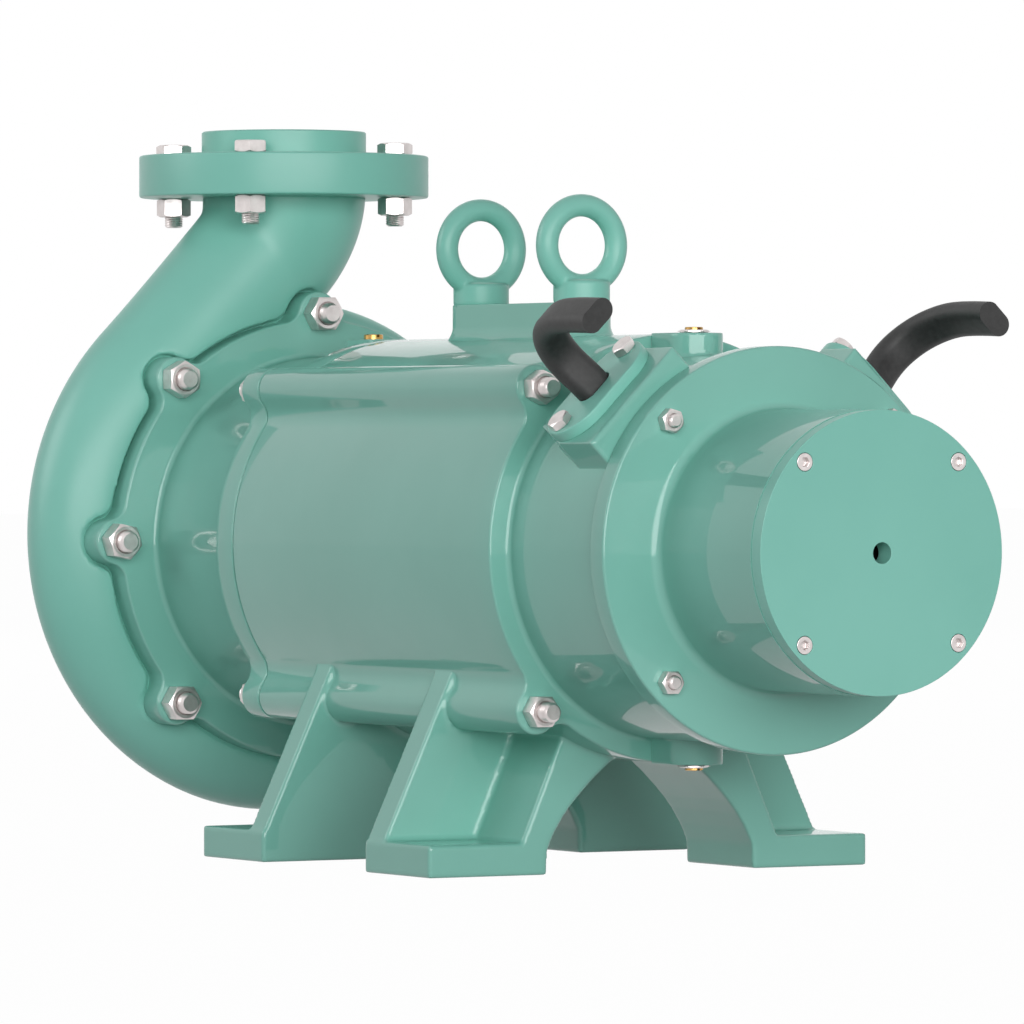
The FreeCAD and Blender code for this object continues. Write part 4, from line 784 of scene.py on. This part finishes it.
def threaded_rod(bm, spot, radius, low, high, ends, pitch=1.75):
    """A stud: plain between, with a cut thread over its ends and a chamfer at each tip."""
    count = 24
    depth = pitch * 0.32
    tip = radius * 0.16
    rings = [([radius - tip - depth] * count, [low] * count)]
    z = low + tip
    while z < high - tip:
        cut_here = z < low + ends[0] or z > high - ends[1]
        radii = []
        for k in range(count):
            phase = (z / pitch - k / count) % 1.0
            radii.append(radius - (depth * abs(2 * phase - 1) if cut_here else 0.0))
        rings.append((radii, [z] * count))
        z += pitch / 4 if cut_here else max(pitch, min(20.0, high - ends[1] - z))
    rings.append(([radius - tip - depth] * count, [high] * count))
    stack(bm, spot, rings)


def circle_of(count, radius, start, axis="X", centre=(0, 0, 0)):
    """Places of a circle of fasteners."""
    spots = []
    for k in range(count):
        a = math.radians(start + 360 * k / count)
        u, v = radius * math.cos(a), radius * math.sin(a)
        spots.append(Vector(centre) + (Vector((0, u, v)) if axis == "X" else Vector((u, v, 0))))
    return spots


def hardware(name, bm, node, material):
    """Finishes one node's fasteners as a single piece with crisp flats."""
    thing = plain(name, bm)
    thing.data.shade_smooth()
    thing.data.set_sharp_from_angle(angle=math.radians(28))
    return dress(thing, material, "zinc", "housing", node)


def fasteners(material):
    """Every nut, stud and bolt in view, each in its CAD node's place."""
    along = (1, 0, 0)
    turns = {2: 0.0, 3: 30.0}   # degrees of two nuts, as in the photograph
    nuts, studs = bmesh.new(), bmesh.new()
    for k, spot in enumerate(circle_of(8, ADAPTER_CIRCLE, 0)):
        seat = local_frame(spot + Vector((PUMP_FLANGE_BACK, 0, 0)), along, turns.get(k, 12.0 * k))
        hexagon_piece(nuts, seat, 21, 12.8, 7)
        threaded_rod(studs, local_frame(spot + Vector((103.5, 0, 0)), along), 7, 0, 48.3, (9, 22), 2.0)
    hardware("adapter_nut_set", nuts, "adapter_nuts", material)
    hardware("adapter_stud_set", studs, "adapter_studs", material)
    front, rear, rods = bmesh.new(), bmesh.new(), bmesh.new()
    for k, spot in enumerate(circle_of(4, TIE_CIRCLE, 45)):
        hexagon_piece(front, local_frame(spot + Vector((FLANGE_A, 0, 0)), (-1, 0, 0), 20.0 * k), 18, 10.8, 6)
        hexagon_piece(rear, local_frame(spot + Vector((FLANGE_B, 0, 0)), along, 10 + 25.0 * k), 18, 10.8, 6)
        threaded_rod(rods, local_frame(spot + Vector((FLANGE_A - 19.8, 0, 0)), along), 6, 0, 388.3, (26, 26))
    hardware("tie_nut_set_front", front, "tie_nuts_front", material)
    hardware("tie_nut_set_rear", rear, "tie_nuts_rear", material)
    hardware("tie_rod_set", rods, "tie_rods", material)
    nuts, studs = bmesh.new(), bmesh.new()
    for k, spot in enumerate(circle_of(4, RING_CIRCLE, 45)):
        hexagon_piece(nuts, local_frame(spot + Vector((BELL + 15.2, 0, 0)), along, 30 + 15.0 * k), 13, 6.8, 4)
        threaded_rod(studs, local_frame(spot + Vector((BELL - 14, 0, 0)), along), 4, 0, 39, (12, 16), 1.25)
    hardware("ring_nut_set", nuts, "ring_nuts", material)
    hardware("ring_stud_set", studs, "ring_studs", material)
    heads, nuts = bmesh.new(), bmesh.new()
    for k, spot in enumerate(circle_of(4, DISCHARGE_CIRCLE, 45, "Z", (DISCHARGE_X, 0, 0))):
        hexagon_piece(heads, local_frame(spot + Vector((0, 0, 251.6)), (0, 0, 1), 30.0 * (k % 2)), 20, 8)
        threaded_rod(heads, local_frame(spot + Vector((0, 0, 205.1)), (0, 0, 1)), 6, 0, 46.6, (22, 0), 1.5)
        under = local_frame(spot + Vector((0, 0, CASING_FLANGE)), (0, 0, -1), 30.0 * (k % 2))
        hexagon_piece(nuts, under, 19.4, 12.1, 6)
    hardware("discharge_bolt_set", heads, "discharge_bolts", material)
    hardware("discharge_nut_set", nuts, "discharge_nuts", material)
    for name, side in (("left", 1), ("right", -1)):
        out, across = entry_axes(side)
        bolts = bmesh.new()
        for end in (-1, 1):
            spot = Vector((GLAND_X, 0, 0)) + across * 31 * end
            hexagon_piece(bolts, local_frame(spot + out * GLAND_TOP, out, 10 + 20.0 * end), 13, 5.3)
            threaded_rod(bolts, local_frame(spot + out * 118, out), 4, 0, 19.1, (10, 0), 1.25)
        hardware("gland_bolt_set_" + name, bolts, "gland_bolts_" + name, material)


def eye_bolts(material):
    """Forged lifting eyes: ring, collar and the swell where they meet."""
    made = bmesh.new()
    for x in EYES_X:
        ring = bmesh.new()
        rings = []
        for i in range(96):
            a = 2 * math.pi * i / 96
            centre = Vector((x, EYE_RING * math.cos(a), EYE_Z + EYE_RING * math.sin(a)))
            away = Vector((0, math.cos(a), math.sin(a)))
            rings.append([(centre + away * EYE_SECTION * math.cos(b)
                           + Vector((EYE_SECTION * math.sin(b), 0, 0))) * MM
                          for b in (2 * math.pi * k / 32 for k in range(32))])
        sweep(ring, rings, ends="looped")
        collar = rod([(149, 16.5), (150, 17.2), (151, 17.5), (162.2, 17.5), (163.6, 16.2), (163.8, 14)], "Z",
                     (x, 0, 0), 96)
        shank = rod([(124, 8), (151, 8)], "Z", (x, 0, 0), 48)
        eye = fuse([plain("ring", ring), collar, shank], 0.0009, 5)
        made.from_mesh(eye.data)
        bpy.data.objects.remove(eye)
    thing = plain("eye_bolt_pair", made)
    thing.data.shade_smooth()
    return dress(thing, material, "paint", "housing", "lifting_eyes")


def shown(tree, camera, glossy):
    """How much of the white a ray meets, by its kind; rays that light surfaces meet none."""
    ray = tree.nodes.new("ShaderNodeLightPath")
    shine = tree.nodes.new("ShaderNodeMath")
    shine.operation = "MULTIPLY"
    shine.inputs[1].default_value = glossy
    tree.links.new(ray.outputs["Is Glossy Ray"], shine.inputs[0])
    clear = tree.nodes.new("ShaderNodeMath")
    clear.operation = "MAXIMUM"
    tree.links.new(ray.outputs["Is Camera Ray"], clear.inputs[0])
    tree.links.new(ray.outputs["Is Transmission Ray"], clear.inputs[1])
    seen = tree.nodes.new("ShaderNodeMath")
    seen.operation = "MULTIPLY"
    seen.inputs[1].default_value = camera
    tree.links.new(clear.outputs[0], seen.inputs[0])
    share = tree.nodes.new("ShaderNodeMath")
    share.operation = "MAXIMUM"
    tree.links.new(shine.outputs[0], share.inputs[0])
    tree.links.new(seen.outputs[0], share.inputs[1])
    return share.outputs[0]


def world():
    """White surroundings in view and in reflections, a softer level on the surfaces."""
    scene_world = bpy.data.worlds.new("studio")
    bpy.context.scene.world = scene_world
    scene_world.use_nodes = True
    tree = scene_world.node_tree
    tree.nodes.clear()
    out = tree.nodes.new("ShaderNodeOutputWorld")
    seen = tree.nodes.new("ShaderNodeBackground")
    seen.inputs["Color"].default_value = (1, 1, 1, 1)
    seen.inputs["Strength"].default_value = 1.0
    lit = tree.nodes.new("ShaderNodeBackground")
    lit.inputs["Color"].default_value = (1, 1, 1, 1)
    lit.inputs["Strength"].default_value = AMBIENT
    mix = tree.nodes.new("ShaderNodeMixShader")
    tree.links.new(shown(tree, 1.0, 1.0), mix.inputs["Fac"])
    tree.links.new(lit.outputs[0], mix.inputs[1])
    tree.links.new(seen.outputs[0], mix.inputs[2])
    tree.links.new(mix.outputs[0], out.inputs["Surface"])


def lamp(name, place, target, width, height, power, mirrored=True):
    """An oval area lamp that points at a target; one behind the object leaves no glare on it."""
    data = bpy.data.lights.new(name, "AREA")
    data.shape = "ELLIPSE"
    data.size = width
    data.size_y = height
    data.energy = power
    thing = bpy.data.objects.new(name, data)
    bpy.context.scene.collection.objects.link(thing)
    thing.visible_glossy = mirrored
    thing.location = place
    thing.rotation_euler = (Vector(target) - Vector(place)).to_track_quat("-Z", "Y").to_euler()


def floor():
    """A white floor that keeps a soft shadow."""
    material = bpy.data.materials.new("floor_white")
    material.use_nodes = True
    tree = material.node_tree
    tree.nodes.clear()
    out = tree.nodes.new("ShaderNodeOutputMaterial")
    matt = tree.nodes.new("ShaderNodeBsdfDiffuse")
    matt.inputs["Color"].default_value = (FLOOR_SHADE, FLOOR_SHADE, FLOOR_SHADE, 1)
    glow = tree.nodes.new("ShaderNodeEmission")
    glow.inputs["Strength"].default_value = 1.0
    mix = tree.nodes.new("ShaderNodeMixShader")
    tree.links.new(shown(tree, FLOOR_SEEN, FLOOR_MIRRORED), mix.inputs["Fac"])
    tree.links.new(matt.outputs[0], mix.inputs[1])
    tree.links.new(glow.outputs[0], mix.inputs[2])
    tree.links.new(mix.outputs[0], out.inputs["Surface"])
    bm = bmesh.new()
    bmesh.ops.create_grid(bm, x_segments=1, y_segments=1, size=20)
    bmesh.ops.translate(bm, vec=(0, 0, FLOOR - 0.0002), verts=bm.verts)
    thing = plain("floor", bm)
    thing.data.materials.append(material)


camera()
MATERIALS = {
    "paint": enamel(),
    "casting": casting_paint(),
    "zinc": zinc(),
    "stainless": metal("stainless_steel", (0.50, 0.50, 0.49), (0.62, 0.62, 0.61), 0.25),
    "brass": metal("turned_brass", (0.42, 0.24, 0.07), (0.60, 0.37, 0.13), 0.18),
    "bronze": metal("cast_bronze", (0.42, 0.26, 0.13), (0.56, 0.37, 0.20), 0.34),
    "machined_iron": metal("machined_iron", (0.24, 0.24, 0.24), (0.34, 0.34, 0.34), 0.4),
    "core_steel": metal("core_steel", (0.20, 0.20, 0.21), (0.32, 0.32, 0.33), 0.4),
    "copper": metal("copper", (0.60, 0.26, 0.14), (0.78, 0.40, 0.24), 0.3),
    "gasket": dull("gasket_fibre", (0.03, 0.03, 0.03), (0.07, 0.07, 0.07), 0.7),
    "rubber": dull("black_rubber", (0.012, 0.012, 0.012), (0.028, 0.028, 0.028), 0.55),
    "cable_sheath": dull("cable_sheath", (0.012, 0.012, 0.012), (0.022, 0.022, 0.022), 0.5),
    "carbon": dull("pressed_carbon", (0.02, 0.02, 0.02), (0.05, 0.05, 0.05), 0.4),
    "ceramic": dull("ceramic", (0.70, 0.68, 0.62), (0.80, 0.78, 0.73), 0.2),
}
for part in frame["record"]["subparts"]:
    node = frame["nodes"][part["node"]]
    node.data.materials.clear()
    node.data.materials.append(MATERIALS[part["material_slot"]])
cable("cable_sheath_left", 1, "cable_left", MATERIALS["cable_sheath"])
cable("cable_sheath_right", -1, "cable_right", MATERIALS["cable_sheath"])
PAINT = MATERIALS["paint"]
volute(MATERIALS["casting"])
adapter(PAINT)
stator(PAINT)
motor_rear(PAINT)
end_shell(PAINT)
loose_flange(MATERIALS["casting"])
gland_plates(MATERIALS["casting"])
eye_bolts(MATERIALS["casting"])
fasteners(MATERIALS["zinc"])
plugs(MATERIALS["brass"], MATERIALS["zinc"])
softened("end_cover", 0.0004, MATERIALS["casting"], "paint")
softened("cover_screws", 0.00035, MATERIALS["zinc"], "zinc")

world()
floor()

# A wide soft key beside the camera, a faint lamp on the pump's side, and one behind for the views
# from there.
lamp("key", (5.9, -2.0, 0.95), (0.4, 0, 0), 8.0, 2.6, 300)
lamp("side", (-0.9, -2.2, 1.1), (0.2, 0, 0), 1.6, 1.6, 20)
lamp("back", (-3.9, 2.4, 2.6), (0.4, 0, 0), 4.0, 4.0, 210, mirrored=False)
bpy.context.scene.view_settings.view_transform = "Standard"
